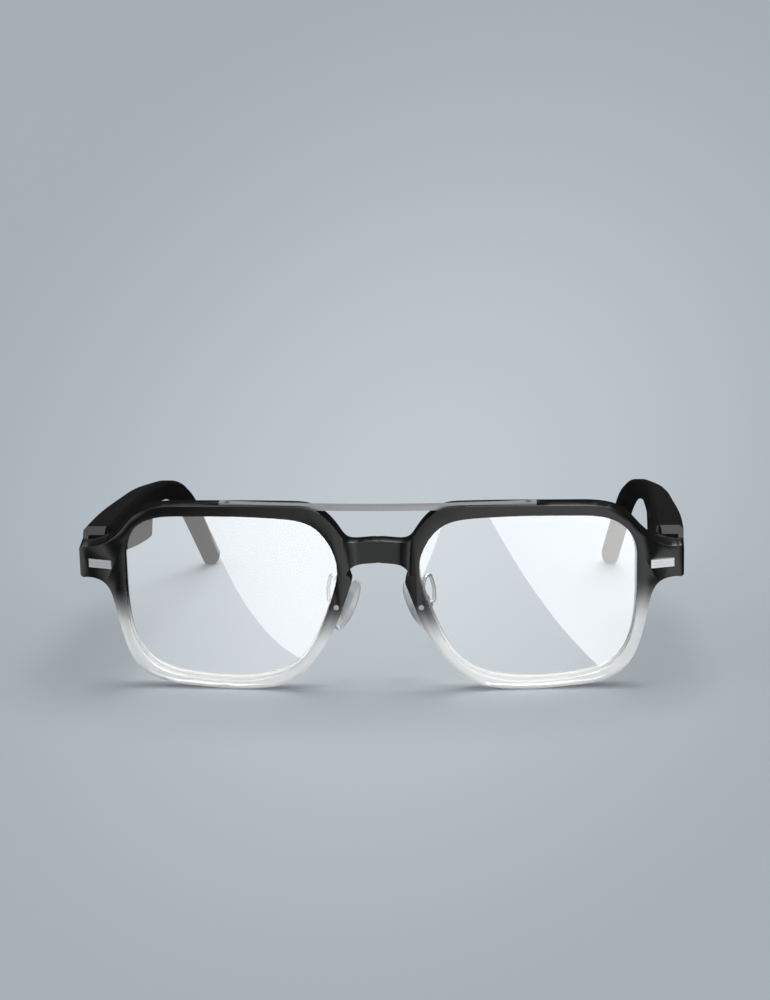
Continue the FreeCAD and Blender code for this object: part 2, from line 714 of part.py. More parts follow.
# ---------------------------------------------------------------- nose pads on their arms
def pad_frame():
    """The right pad's own frame: x across, y up its length, z from its back to the nose."""
    slant = Rotation(Vector(0, 1, 0), -size("pad_slant"))
    long_way = slant.multVec(Vector(0, 0, 1))
    facing = slant.multVec(Vector(-1, 0, 0))
    facing = Rotation(long_way, -size("pad_splay")).multVec(facing)
    across = long_way.cross(facing)
    matrix = Matrix(across.x, long_way.x, facing.x, size("pad_at"),
                    across.y, long_way.y, facing.y, size("pad_back"),
                    across.z, long_way.z, facing.z, size("pad_level"), 0, 0, 0, 1)
    return Placement(matrix)


PAD = FRONT * pad_frame()


def insert_shape():
    """The stiff insert: a plate inside the pad and a lug that the pad screw passes."""
    long_half = size("insert_length") / 2
    wide_half = size("insert_width") / 2
    neck_half = size("neck_width") / 2
    low = size("insert_cover")
    plate = block((-wide_half, wide_half), (-long_half, long_half), (low, low + size("insert_plate")))
    plate = plate.makeFillet(wide_half * 0.6, [e for e in plate.Edges if abs(e.tangentAt(0).z) > 0.9])
    axis = Vector(-size("lug_width") / 2, 0, -size("pad_axis"))
    way = Vector(1, 0, 0)
    eye = Part.makeCylinder(size("lug_radius"), size("lug_width"), axis, way)
    neck = block((-size("lug_width") / 2, size("lug_width") / 2), (-neck_half, neck_half),
                 (-size("pad_axis"), low))
    bore = Part.makeCylinder(size("pad_screw") + size("pad_screw_gap"), 4, axis - way, way)
    return plate.fuse([eye, neck]).cut(bore).removeSplitter()


def pad_shape():
    """A soft pad: flat back, rounded towards the nose, with room for its insert."""
    pad = Part.makeSphere(1.0)
    scale = Matrix()
    scale.scale(size("pad_width") / 2, size("pad_length") / 2, size("pad_bulge"))
    dome = pad.transformGeometry(scale)
    dome.translate(Vector(0, 0, size("pad_body")))
    wide = size("pad_length")
    front = block((-wide, wide), (-wide, wide), (0, wide))
    return dome.common(front).cut(insert_shape())


def pad_box_shape():
    """The open box of a pad arm, with the holes that hold the pad screw."""
    half = size("lug_width") / 2 + size("lug_gap") + size("box_wall")
    long_half = size("box_length") / 2
    high = -size("box_clear")
    low = high - size("box_depth")
    box = block((-half, half), (-long_half, long_half), (low, high))
    room = block((-half + size("box_wall"), half - size("box_wall")), (-long_half - 1, long_half + 1),
                 (low + size("box_wall"), high + 1))
    hole = Part.makeCylinder(size("pad_screw"), 4 * half, Vector(-2 * half, 0, -size("pad_axis")),
                             Vector(1, 0, 0))
    return box.cut([room, hole])


def pad_screw_shape():
    half = size("lug_width") / 2 + size("lug_gap") + size("box_wall")
    start = Vector(-half - size("pad_head_height"), 0, -size("pad_axis"))
    way = Vector(1, 0, 0)
    head = Part.makeCylinder(size("pad_screw_head"), size("pad_head_height"), start, way)
    shank = Part.makeCylinder(size("pad_screw"), 2 * half + size("pad_head_height"), start, way)
    return head.fuse(shank).removeSplitter()


def arm_shape():
    """The right pad arm in the front's frame: riveted plate, looped wire and pad box."""
    low, high = rivet_spots()
    lean = Rotation(Vector(0, 1, 0), -size("rivet_lean"))
    rear = size("front_depth") + sag(size("rivet_at")) + size("arm_stand")
    wide = size("arm_plate_width") / 2
    pitch = size("rivet_pitch")
    plate = block((-wide, wide), (0, size("arm_plate")), (-wide, pitch + wide))
    plate = plate.makeFillet(wide * 0.9, [e for e in plate.Edges if abs(e.tangentAt(0).y) > 0.9])
    plate.Placement = Placement(Vector(low[0], rear, low[1]), lean)
    box = pad_box_shape()
    box.Placement = pad_frame()
    back = -size("box_clear") - size("box_depth")
    end = pad_frame().multVec(Vector(0, 0, back + size("box_wall") / 2))
    before = pad_frame().multVec(Vector(0, 0, back - size("arm_lead")))
    start = Vector((low[0] + high[0]) / 2, rear + size("arm_wire"), (low[1] + high[1]) / 2)
    loop = Vector(start.x + size("loop_side"), start.y + size("loop_back"), high[1] + size("loop_height"))
    out = Vector(start.x + 0.3 * size("loop_side"), start.y + 0.7 * size("loop_back"),
                 start.z + 0.25 * size("loop_height"))
    top = Vector(before.x, before.y - 0.3 * size("arm_drop"), before.z + size("arm_drop"))
    wire = bent_wire([start, out, loop, top, before, end], size("arm_bend"), size("arm_wire"))
    holes = [Part.makeCylinder(size("rivet_radius"), 4, Vector(spot[0], rear - 1, spot[1]), Vector(0, 1, 0))
             for spot in (low, high)]
    return plate.fuse([wire, box]).cut(holes).removeSplitter()


pair(feature("pad_arm", arm_shape(), FRONT), "pad_arm")
both_sides("pad_arm_rivets", feature("pad_arm_rivet", Part.makeCompound(rivet_shapes()), FRONT))
both_sides("pad_screws", feature("pad_screw_piece", pad_screw_shape(), PAD))
pair(feature("nose_pad", pad_shape(), PAD), "nose_pad")
pair(feature("nose_pad_insert", insert_shape(), PAD), "nose_pad_insert")


# ---------------------------------------------------------------- hinges
HINGE_Y = "hinge_face + hinge_back"
MIDDLE_LOW = "hinge_low + outer_knuckle + knuckle_gap"
UPPER_LOW = "hinge_low + outer_knuckle + middle_knuckle + 2 * knuckle_gap"
HINGE_TOP = "hinge_low + 2 * outer_knuckle + middle_knuckle + 2 * knuckle_gap"


def hinge_cylinder(name, radius, low, height):
    return primitive("Cylinder", name, Radius=radius, Height=height, at_x="hinge_x", at_y=HINGE_Y,
                     at_z=low)


def make_front_hinge():
    """The front's half of the right hinge: plate, buried anchor, stop and two knuckles."""
    pieces = [primitive("Box", "hinge_back_plate", Length="plate_outer - plate_inner",
                        Width="hinge_plate", Height=f"{HINGE_TOP} - hinge_low",
                        at_x="plate_inner", at_y="hinge_face", at_z="hinge_low"),
              primitive("Box", "hinge_stop", Length="plate_outer - stop_inner", Width="stop_depth",
                        Height="stop_top - stop_low", at_x="stop_inner", at_y="hinge_face",
                        at_z="stop_low"),
              feature("hinge_anchor", hinge_anchor())]
    for name, low in (("low", "hinge_low"), ("high", UPPER_LOW)):
        pieces.append(hinge_cylinder("knuckle_" + name, "knuckle_radius", low, "outer_knuckle"))
        pieces.append(primitive("Box", "web_" + name, Length="knuckle_radius", Width="hinge_back",
                                Height="outer_knuckle", at_x="hinge_x - knuckle_radius / 2",
                                at_y="hinge_face", at_z=low))
    bore = hinge_cylinder("front_bore", "pin_radius", "hinge_low", f"{HINGE_TOP} - hinge_low")
    return cut("front_hinge", joined("front_hinge_blank", pieces), bore)


def make_hinge_screw():
    """The right hinge screw, which is tight in the front's knuckles."""
    shank = hinge_cylinder("hinge_screw_shank", "pin_radius", "hinge_low", f"{HINGE_TOP} - hinge_low")
    head = hinge_cylinder("hinge_screw_head", "pin_head", HINGE_TOP, "pin_head_height")
    slot = primitive("Box", "hinge_screw_slot", Length="2 * pin_head", Width="pin_head / 4",
                     Height="pin_head_height", at_x="hinge_x - pin_head",
                     at_y=f"{HINGE_Y} - pin_head / 8", at_z=f"{HINGE_TOP} + pin_head_height / 2")
    return cut("hinge_screw", joined("hinge_screw_blank", [shank, head]), slot)


LEAF_Z = f"{MIDDLE_LOW} + middle_knuckle / 2"


def leaf_screw(name, place):
    """A leaf screw with its head flush in the leaf, pointing out into the housing."""
    at = f"hinge_face + leaf_start + leaf_length / 2 + ({place}) * leaf_screw_pitch / 2"
    way = (Vector(0, 1, 0), 90)
    head = primitive("Cylinder", name + "_head", way, Radius="leaf_screw_head", Height="leaf_head_height",
                     at_x="temple_inner", at_y=at, at_z=LEAF_Z)
    shank = primitive("Cylinder", name + "_shank", way, Radius="leaf_screw", Height="leaf_screw_length",
                      at_x="temple_inner", at_y=at, at_z=LEAF_Z)
    return joined(name, [head, shank])


def make_leaf(screws):
    """The temple's half of the right hinge: a leaf with the middle knuckle."""
    plate = primitive("Box", "leaf_plate", Length="leaf_thickness", Width="leaf_length",
                      Height="leaf_height", at_x="temple_inner", at_y="hinge_face + leaf_start",
                      at_z=f"{LEAF_Z} - leaf_height / 2")
    knuckle = hinge_cylinder("knuckle_middle", "knuckle_radius", MIDDLE_LOW, "middle_knuckle")
    web = primitive("Box", "web_middle", Length="leaf_thickness", Width="leaf_start - hinge_back + 1",
                    Height="middle_knuckle", at_x="temple_inner", at_y=HINGE_Y, at_z=MIDDLE_LOW)
    bore = hinge_cylinder("leaf_bore", "pin_radius + pin_gap", MIDDLE_LOW, "middle_knuckle")
    return cut("hinge_leaf", joined("leaf_blank", [plate, knuckle, web]), joined("leaf_holes", [bore, screws]))


pair(make_front_hinge(), "front_hinge")
both_sides("hinge_screws", make_hinge_screw())
LEAF_SCREWS = group("leaf_screws", [leaf_screw("leaf_screw_front", -1), leaf_screw("leaf_screw_rear", 1)])
pair(LEAF_SCREWS, "leaf_screws")
LEAF = pair(make_leaf(joined("leaf_screw_tools", list(LEAF_SCREWS.Links))), "temple_hinge")
doc.recompute()


# ---------------------------------------------------------------- the outer form of a temple
# The outer side of a temple seen from above: (share of its length, share of its inset).
PLAN_CURVE = [(0.0, 0.0), (0.07, 0.0), (0.22, 0.025), (0.43, 0.115), (0.58, 0.215), (0.67, 0.385),
              (0.75, 0.555), (0.83, 0.705), (0.965, 0.93), (1.0, 0.985)]
HOUSING_TAPER = [(0.0, 0.0), (0.07, 0.0), (0.24, 0.2), (0.41, 0.6), (0.563, 1.15)]


def ear_path():
    """The ear piece's middle line: the arc's centre and the end of the path, as (back, up)."""
    slope = math.radians(size("ear_slope"))
    steep = slope + math.radians(size("ear_turn"))
    radius = size("ear_radius")
    start = (size("housing_length"), size("joint_level"))
    bend = (start[0] + size("ear_lead") * math.cos(slope), start[1] - size("ear_lead") * math.sin(slope))
    centre = (bend[0] - radius * math.sin(slope), bend[1] - radius * math.cos(slope))
    foot = centre[1] + radius * math.cos(steep) - size("ear_height") / 2 * math.cos(steep)
    run = (foot + size("ear_foot")) / math.sin(steep)
    leave = (centre[0] + radius * math.sin(steep), centre[1] + radius * math.cos(steep))
    end = (leave[0] + run * math.cos(steep), leave[1] - run * math.sin(steep))
    return start, centre, end, slope, steep


def beside(spot, offset, angle):
    """A point beside the ear path, above it for a positive offset."""
    return spot[0] + offset * math.sin(angle), spot[1] + offset * math.cos(angle)


def temple_reach():
    """How far a temple reaches back from the hinge face."""
    _, _, end, _, steep = ear_path()
    return beside(end, size("ear_height") / 2, steep)[0]


def side_points(points):
    return [Vector(0, back, up) for back, up in points]


def side_outline():
    """The edges of a temple's side view, in the (back, up) plane."""
    start, centre, end, slope, steep = ear_path()
    half = size("ear_height") / 2
    gap = size("temple_gap")

    def ear_arc(radius):
        angles = (slope, (slope + steep) / 2, steep)
        return Part.Arc(*side_points([beside(centre, radius, angle) for angle in angles])).toShape()

    upper, lower = size("ear_radius") + half, size("ear_radius") - half
    front_low = (gap, size("temple_front_low"))
    front_top = (gap, size("temple_front_top"))
    bevel_foot = (size("bevel_start"), size("temple_front_top"))
    bevel_top = (size("bevel_end"), size("temple_top"))
    joint_top = beside(start, half, slope)
    joint_low = beside(start, -half, slope)
    heel = (size("housing_heel"), size("heel_level"))
    rise = (heel[0] + 0.32 * (joint_low[0] - heel[0]), heel[1] + 0.8 * (joint_low[1] - heel[1]))
    middle = ((bevel_top[0] + joint_top[0]) / 2, (bevel_top[1] + joint_top[1]) / 2 + 0.4)

    def run(first, second):
        return Part.LineSegment(*side_points([first, second])).toShape()

    belly = spline(side_points([heel, (0.6 * heel[0], 0.5 * (heel[1] + front_low[1]) + 0.3),
                                (0.3 * heel[0], front_low[1] - 0.6), front_low]))
    return [run(front_low, front_top), run(front_top, bevel_foot), run(bevel_foot, bevel_top),
            Part.Arc(*side_points([bevel_top, middle, joint_top])).toShape(),
            run(joint_top, beside(centre, upper, slope)), ear_arc(upper),
            run(beside(centre, upper, steep), beside(end, half, steep)),
            run(beside(end, half, steep), beside(end, -half, steep)),
            run(beside(end, -half, steep), beside(centre, lower, steep)), ear_arc(lower),
            run(beside(centre, lower, slope), joint_low), run(joint_low, rise), run(rise, heel), belly]


def outer_points():
    """The temple's outer side seen from above."""
    reach = temple_reach() + 4
    return [(size("half_width") - size("tip_inset") * inset, reach * back) for back, inset in PLAN_CURVE]


def inner_points():
    """The temple's inner side seen from above: the housing, then the slimmer ear piece."""
    reach = temple_reach() + 4
    housing = [(size("temple_inner") - taper, reach * back) for back, taper in HOUSING_TAPER]
    ear = [(across - size("ear_thickness"), back) for across, back in outer_points()[5:]]
    return housing + ear


def plan_strip(inner, outer):
    """A tall solid between two offsets: inner from the inner side, outer from the outer side."""
    first = [(across + inner, back, 0) for across, back in inner_points()]
    second = [(across - outer, back, 0) for across, back in outer_points()]
    edges = [spline(first), spline(second), line(first[0], second[0]), line(first[-1], second[-1])]
    return face_of(edges).extrude(Vector(0, 0, HEIGHT_LIMIT))


def shrunk(face, inset):
    """A flat face made smaller all round, with its offset curves drawn as plain splines."""
    edges = []
    for edge in face.OuterWire.makeOffset2D(-inset, 2).Edges:
        if edge.Curve.TypeId in ("Part::GeomLine", "Part::GeomCircle"):
            edges.append(edge)
        else:
            edges.append(spline(edge.discretize(SHRUNK_POINTS)))
    return face_of(edges)


def side_prism(inset=0.0):
    """The temple's side view as a solid across, shrunk by an inset."""
    face = face_of(side_outline())
    if inset:
        face = shrunk(face, inset)
    return face.extrude(Vector(SIDE_LIMIT, 0, 0))


def skin_strip(depth_from, depth_to):
    """A tall solid along the inner side, between two depths under its surface."""
    first = [(across + depth_from, back, 0) for across, back in inner_points()]
    second = [(across + depth_to, back, 0) for across, back in inner_points()]
    edges = [spline(first), spline(second), line(first[0], second[0]), line(first[-1], second[-1])]
    return face_of(edges).extrude(Vector(0, 0, HEIGHT_LIMIT))


def between(start, end):
    """The space between two distances behind the hinge face."""
    return block((0, SIDE_LIMIT), (start, end), (-10, HEIGHT_LIMIT))


def edge_way(edge):
    """An edge's direction at its middle."""
    return edge.tangentAt((edge.FirstParameter + edge.LastParameter) / 2)


def temple_blank():
    """The whole outer form of the right temple, with bevelled edges and a rounded heel."""
    blank = plan_strip(0, 0).common(side_prism()).Solids[0]
    lengthwise = [edge for edge in blank.Edges if abs(edge_way(edge).x) < 0.7]
    joint_low = size("joint_level") - size("ear_height") / 2

    def is_step(edge):
        middle = edge.CenterOfMass
        behind_heel = size("housing_heel") < middle.y < size("housing_length") and middle.z < joint_low
        return middle.y < size("bevel_end") or behind_heel

    blank = blank.makeChamfer(size("temple_bevel"), [edge for edge in lengthwise if not is_step(edge)])
    heel = [edge for edge in blank.Edges
            if abs(edge_way(edge).x) > 0.9 and abs(edge.CenterOfMass.y - size("housing_heel")) < 1
            and abs(edge.CenterOfMass.z - size("heel_level")) < 1]
    standing = block((0, 100), (-10, BACK_LIMIT * 10), (0, HEIGHT_LIMIT))
    return blank.makeFillet(size("heel_radius"), heel).common(standing)


BLANK = temple_blank()
TEMPLE = Placement(Vector(0, size("hinge_face"), 0), Rotation())
CAVITY_INSET = size("rim_wall") + size("seal_inset") + size("seal_width") + size("ledge_inset")
COVER_DEPTH = size("cover_thickness") + size("seal_thickness")


def cavity():
    """The room inside the housing."""
    room = plan_strip(COVER_DEPTH - size("cut_over"), size("wall")).common(side_prism(CAVITY_INSET))
    return room.common(between(size("cover_start") + size("end_ledge"),
                               size("cover_end") - size("end_ledge")))


def cover_pocket(inset, depth_from, depth_to, gap=0.0):
    """A layer on the inner side: the cover, its seal or the recess that takes them."""
    layer = skin_strip(depth_from, depth_to).common(side_prism(inset))
    return layer.common(between(size("cover_start") + gap, size("cover_end") - gap))


def wire_core():
    """The wire core, from the housing's rear block into the ear piece, along its middle."""
    start, centre, end, slope, steep = ear_path()
    radius = size("ear_radius")
    outer = spline([(across, back, 0) for across, back in outer_points()]).Curve
    inner = spline([(across, back, 0) for across, back in inner_points()]).Curve

    def middle(spot):
        cutter = Part.LineSegment(Vector(0, spot[0], 0), Vector(100, spot[0], 0))
        sides = [cutter.intersect(curve)[0].X for curve in (outer, inner)]
        return Vector(sum(sides) / 2, spot[0], spot[1])

    before = beside(start, 0, slope)
    lead = size("core_lead")
    first = (size("core_start"), before[1] + (before[0] - size("core_start")) * math.tan(slope))
    turns = [beside(centre, radius + size("core_rise"), slope + share * (steep - slope)) for share in (0.25, 0.75)]
    run = (size("core_end") - end[0]) / math.cos(steep)
    last = (end[0] + run * math.cos(steep), end[1] - run * math.sin(steep))
    second = (before[0] + lead, before[1] - lead * math.tan(slope))
    spots = [middle(spot) for spot in [first, second] + turns + [last]]
    return bent_wire(spots, size("core_bend"), size("core_radius"))


CORE = wire_core()


def leaf_room():
    """The right hinge leaf and its screws, in the temple's frame."""
    room = LEAF.Base.Shape.fuse(LEAF_SCREWS.Shape)
    room.translate(Vector(0, -size("hinge_face"), 0))
    return room


def make_shell():
    """The housing's outer shell, open on the inner side where the cover goes."""
    shell = BLANK.common(between(-1, size("housing_length")))
    front = block((0, size("half_width") - size("skin")), (-1, size("hinge_back") - size("mouth_gap")),
                  (-10, HEIGHT_LIMIT))
    knuckles = Part.makeCylinder(size("knuckle_radius") + size("hinge_sweep"), HEIGHT_LIMIT,
                                 Vector(size("hinge_x"), size("hinge_back"), 0))
    recess = cover_pocket(size("rim_wall"), -1.0, COVER_DEPTH)
    port = Part.makeCylinder(size("mic_port"), 6, Vector(*mic_port_spot(), size("mic_level") - 5))
    return shell.cut([front, knuckles, recess, cavity(), leaf_room(), CORE, port]).removeSplitter()


def mic_port_spot():
    back = size("mic_start") + size("mic_length") / 2
    return inner_at(back) + COVER_DEPTH + size("inner_clear") + size("mic_width") / 2, back


def inner_at(back):
    """The inner side's distance from the middle, at a distance behind the hinge face."""
    curve = spline([(across, spot, 0) for across, spot in inner_points()]).Curve
    cutter = Part.LineSegment(Vector(0, back, 0), Vector(100, back, 0))
    return cutter.intersect(curve)[0].X


def contact_shapes():
    """Two charging contacts, flush with the cover's outer face."""
    shapes = []
    for number in range(2):
        back = size("contact_start") + number * size("contact_pitch")
        pin = Part.makeCylinder(size("contact_radius"), SIDE_LIMIT, Vector(0, back, size("contact_level")),
                                Vector(1, 0, 0))
        shapes.append(pin.common(skin_strip(0, size("contact_depth"))))
    return shapes


def mesh_tool():
    """The slot in the cover in front of the speaker, as deep as the mesh."""
    back = size("speaker_start") + size("speaker_length") / 2
    up = size("speaker_level") + size("speaker_height") / 2
    half = size("mesh_length") / 2
    tall = size("mesh_height") / 2
    slot = block((0, SIDE_LIMIT), (back - half, back + half), (up - tall, up + tall))
    return slot.makeFillet(tall * 0.95, [e for e in slot.Edges if abs(e.tangentAt(0).x) > 0.9])


def make_cover():
    cover = BLANK.common(cover_pocket(size("rim_wall") + size("cover_gap"), -1.0, size("cover_thickness"),
                                      size("cover_gap")))
    return cover.cut(contact_shapes() + [mesh_tool()]).removeSplitter()


def make_seal():
    """A gasket ring between the cover and the shell's ledge."""
    inset = size("rim_wall") + size("seal_inset")
    layers = (size("cover_thickness"), COVER_DEPTH)
    ring = cover_pocket(inset, *layers, size("seal_inset"))
    return ring.cut(cover_pocket(inset + size("seal_width"), -1.0, 5.0,
                                 size("seal_inset") + size("seal_width")))


def make_touch_sensor():
    """A thin film on the inside of the housing's outer wall."""
    film = plan_strip(COVER_DEPTH, size("wall")).cut(plan_strip(-5.0, size("wall") + size("touch_thickness")))
    return film.common(side_prism(size("touch_inset"))).common(
        between(size("touch_start"), size("touch_end")))


pair(feature("temple_shell", make_shell(), TEMPLE), "temple_shell")
pair(feature("temple_cover", make_cover(), TEMPLE), "temple_cover")
pair(feature("temple_gasket", make_seal(), TEMPLE), "temple_gasket")
pair(feature("touch_sensor", make_touch_sensor(), TEMPLE), "touch_sensor")
pair(feature("charge_contacts", Part.makeCompound(contact_shapes()), TEMPLE), "charge_contacts")
MESH_LAYER = skin_strip(size("mesh_sunk"), size("mesh_sunk") + size("mesh_thickness"))
pair(feature("speaker_mesh", mesh_tool().common(MESH_LAYER), TEMPLE),
     "speaker_mesh")
pair(feature("wire_core", CORE, TEMPLE), "wire_core")
pair(feature("ear_piece", BLANK.common(between(size("housing_length"), 400)).cut(CORE).removeSplitter(),
             TEMPLE), "ear_piece")


# ---------------------------------------------------------------- what a housing holds
def plate_body(name, length, height, thickness, place):
    """A plate on edge: its length back, its height up and its thickness across."""
    body = doc.addObject("PartDesign::Body", name)
    outline = new_sketch(body, name + "_outline", "YZ_Plane")
    rectangle(outline, "0", "0", length, height)
    pad = body.newObject("PartDesign::Pad", name + "_pad")
    pad.Profile = outline
    bind(pad, Length=thickness)
    body.Placement = place
    return body


def rounded(body, radius, along=None):
    """Rounds the plate's edges, or only those along one axis."""
    doc.recompute()
    base = body.Tip
    names = []
    for number, edge in enumerate(base.Shape.Edges, start=1):
        way = body.Placement.Rotation.inverted().multVec(edge.tangentAt(edge.FirstParameter))
        if along is None or abs(way.dot(along)) > 0.9:
            names.append(f"Edge{number}")
    round_off = body.newObject("PartDesign::Fillet", body.Name + "_rounding")
    round_off.Base = (base, names)
    bind(round_off, Radius=radius)
    return body


def inside(back, up, slope=0.0, turn=0.0, behind=0.0):
    """A place against the inside of the cover, at a distance behind the hinge face."""
    across = inner_at(back) + COVER_DEPTH + size("inner_clear") + behind
    rotation = Rotation(Vector(0, 0, 1), turn) * Rotation(Vector(1, 0, 0), -slope)
    return Placement(Vector(across, size("hinge_face") + back, up), rotation)


CELL = plate_body("cell", "cell_length", "cell_height", "cell_thickness",
                  inside(size("cell_start"), size("cell_level"), size("cell_slope")))
pair(rounded(CELL, "cell_round", Vector(0, 1, 0)), "battery")

BOARD_PLACE = inside(size("board_start"), size("board_level"), size("cell_slope"), 1.0)
BOARD = plate_body("board", "board_length", "board_height", "board_thickness", BOARD_PLACE)
CHIP = primitive("Box", "chip", Length="chip_thickness", Width="chip_length", Height="chip_height")
CHIP.Placement = BOARD_PLACE * Placement(
    Vector(size("board_thickness"), (size("board_length") - size("chip_length")) / 2,
           (size("board_height") - size("chip_height")) / 2), Rotation())
pair(joined("circuit_board", [BOARD, CHIP]), "circuit_board")

SPEAKER = plate_body("speaker", "speaker_length", "speaker_height", "speaker_thickness",
                     inside(size("speaker_start"), size("speaker_level"), size("mic_slope"),
                            size("speaker_turn"), size("speaker_back")))
pair(rounded(SPEAKER, "speaker_round", Vector(1, 0, 0)), "speaker")

MIC = plate_body("microphone", "mic_length", "mic_height", "mic_width",
                 inside(size("mic_start"), size("mic_level"), size("mic_slope")))
pair(MIC, "microphone")


# ---------------------------------------------------------------- checks and export
doc.recompute()
for item in doc.Objects:
    if "Invalid" in item.State or "Error" in item.State:
        raise RuntimeError(f"{item.Label} did not compute: {item.State}")
os.makedirs("parts", exist_ok=True)
for item in NODES:
    if item.Shape.isNull() or not item.Shape.isValid() or not item.Shape.Solids:
        raise RuntimeError(f"{item.Label} has no valid solid")
for item in NODES:
    item.Shape.exportStep(f"parts/{item.Label}.step")
print(len(NODES), "nodes written")
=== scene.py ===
"""Looks of a pair of smart glasses: acetate front, clear lenses, metal bar, pads, temples and a studio."""
from __future__ import annotations

import json
import logging
import math
from dataclasses import dataclass, field
from enum import Enum
from typing import Any, Callable

import bpy
from mathutils import Matrix, Vector

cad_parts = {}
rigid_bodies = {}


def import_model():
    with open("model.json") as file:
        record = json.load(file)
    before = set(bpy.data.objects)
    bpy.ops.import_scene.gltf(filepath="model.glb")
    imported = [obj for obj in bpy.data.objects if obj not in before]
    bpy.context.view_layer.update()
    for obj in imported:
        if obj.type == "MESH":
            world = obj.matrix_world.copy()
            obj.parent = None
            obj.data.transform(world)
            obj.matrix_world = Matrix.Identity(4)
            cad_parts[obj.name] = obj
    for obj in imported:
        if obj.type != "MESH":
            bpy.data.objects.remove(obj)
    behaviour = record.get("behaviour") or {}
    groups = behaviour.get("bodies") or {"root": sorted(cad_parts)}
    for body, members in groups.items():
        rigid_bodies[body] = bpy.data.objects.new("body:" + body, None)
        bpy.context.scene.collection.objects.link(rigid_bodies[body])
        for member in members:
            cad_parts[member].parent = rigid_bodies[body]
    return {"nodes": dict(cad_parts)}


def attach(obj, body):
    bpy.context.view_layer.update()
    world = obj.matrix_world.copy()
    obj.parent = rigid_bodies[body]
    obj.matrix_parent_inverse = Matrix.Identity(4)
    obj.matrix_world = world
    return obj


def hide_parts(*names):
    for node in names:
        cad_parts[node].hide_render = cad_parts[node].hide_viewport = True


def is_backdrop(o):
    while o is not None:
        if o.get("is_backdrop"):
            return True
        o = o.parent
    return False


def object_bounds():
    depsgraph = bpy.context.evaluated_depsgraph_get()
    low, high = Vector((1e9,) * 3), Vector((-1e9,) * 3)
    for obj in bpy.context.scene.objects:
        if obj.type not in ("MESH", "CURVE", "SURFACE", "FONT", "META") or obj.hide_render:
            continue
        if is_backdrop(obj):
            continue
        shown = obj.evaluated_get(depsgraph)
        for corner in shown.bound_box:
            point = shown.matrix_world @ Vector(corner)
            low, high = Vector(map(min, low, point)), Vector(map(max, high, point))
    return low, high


LOG = logging.getLogger("glasses")
Colour = tuple[float, float, float, float]


class Side(Enum):
    """The two sides, as the model's node names end."""

    LEFT = "left"
    RIGHT = "right"

    def node(self, base: str) -> str:
        """The name of this side's node."""
        return f"{base}_{self.value}"


class Slot(Enum):
    """The record's material slots."""

    ACETATE = "black_acetate"
    HOUSING = "black_housing"
    LENS = "lens"
    SILVER = "silver_metal"
    GUNMETAL = "gunmetal"
    BLACKENED = "blackened_metal"
    STEEL = "steel"
    SILICONE = "clear_silicone"
    GASKET = "gasket_rubber"
    FOIL = "cell_foil"
    BOARD = "board_green"
    SPEAKER = "speaker_black"
    GOLD = "contact_gold"
    FILM = "sensor_film"


# ---------------------------------------------------------------- shader graphs
@dataclass(frozen=True)
class Value:
    """A number socket that arithmetic can be written with."""

    graph: "Graph"
    socket: bpy.types.NodeSocket

    def _maths(self, operation: str, *values: Any) -> "Value":
        """Adds one Math node.

        Args:
            operation: the Math node's operation.
            values: its inputs, numbers or values.

        Returns:
            The node's result.
        """
        return Value(self.graph, self.graph.add("ShaderNodeMath", {"operation": operation},
                                                dict(enumerate(values))).outputs[0])

    def __add__(self, other: Any) -> "Value":
        """Self plus other."""
        return self._maths("ADD", self, other)

    def __radd__(self, other: Any) -> "Value":
        """Other plus self."""
        return self._maths("ADD", other, self)

    def __sub__(self, other: Any) -> "Value":
        """Self minus other."""
        return self._maths("SUBTRACT", self, other)

    def __rsub__(self, other: Any) -> "Value":
        """Other minus self."""
        return self._maths("SUBTRACT", other, self)

    def __mul__(self, other: Any) -> "Value":
        """Self times other."""
        return self._maths("MULTIPLY", self, other)

    def __rmul__(self, other: Any) -> "Value":
        """Other times self."""
        return self._maths("MULTIPLY", other, self)

    def __truediv__(self, other: Any) -> "Value":
        """Self over other."""
        return self._maths("DIVIDE", self, other)

    def __rtruediv__(self, other: Any) -> "Value":
        """Other over self."""
        return self._maths("DIVIDE", other, self)

    def __abs__(self) -> "Value":
        """The size of self."""
        return self._maths("ABSOLUTE", self)

    def __pow__(self, other: Any) -> "Value":
        """Self to a power."""
        return self._maths("POWER", self, other)

    def ramp(self, low: float, high: float) -> "Value":
        """A smooth step from 0 at low to 1 at high, which may be the lower of the two."""
        node = self.graph.add("ShaderNodeMapRange", {"interpolation_type": "SMOOTHSTEP"},
                              {"Value": self, "From Min": low, "From Max": high})
        return Value(self.graph, node.outputs["Result"])


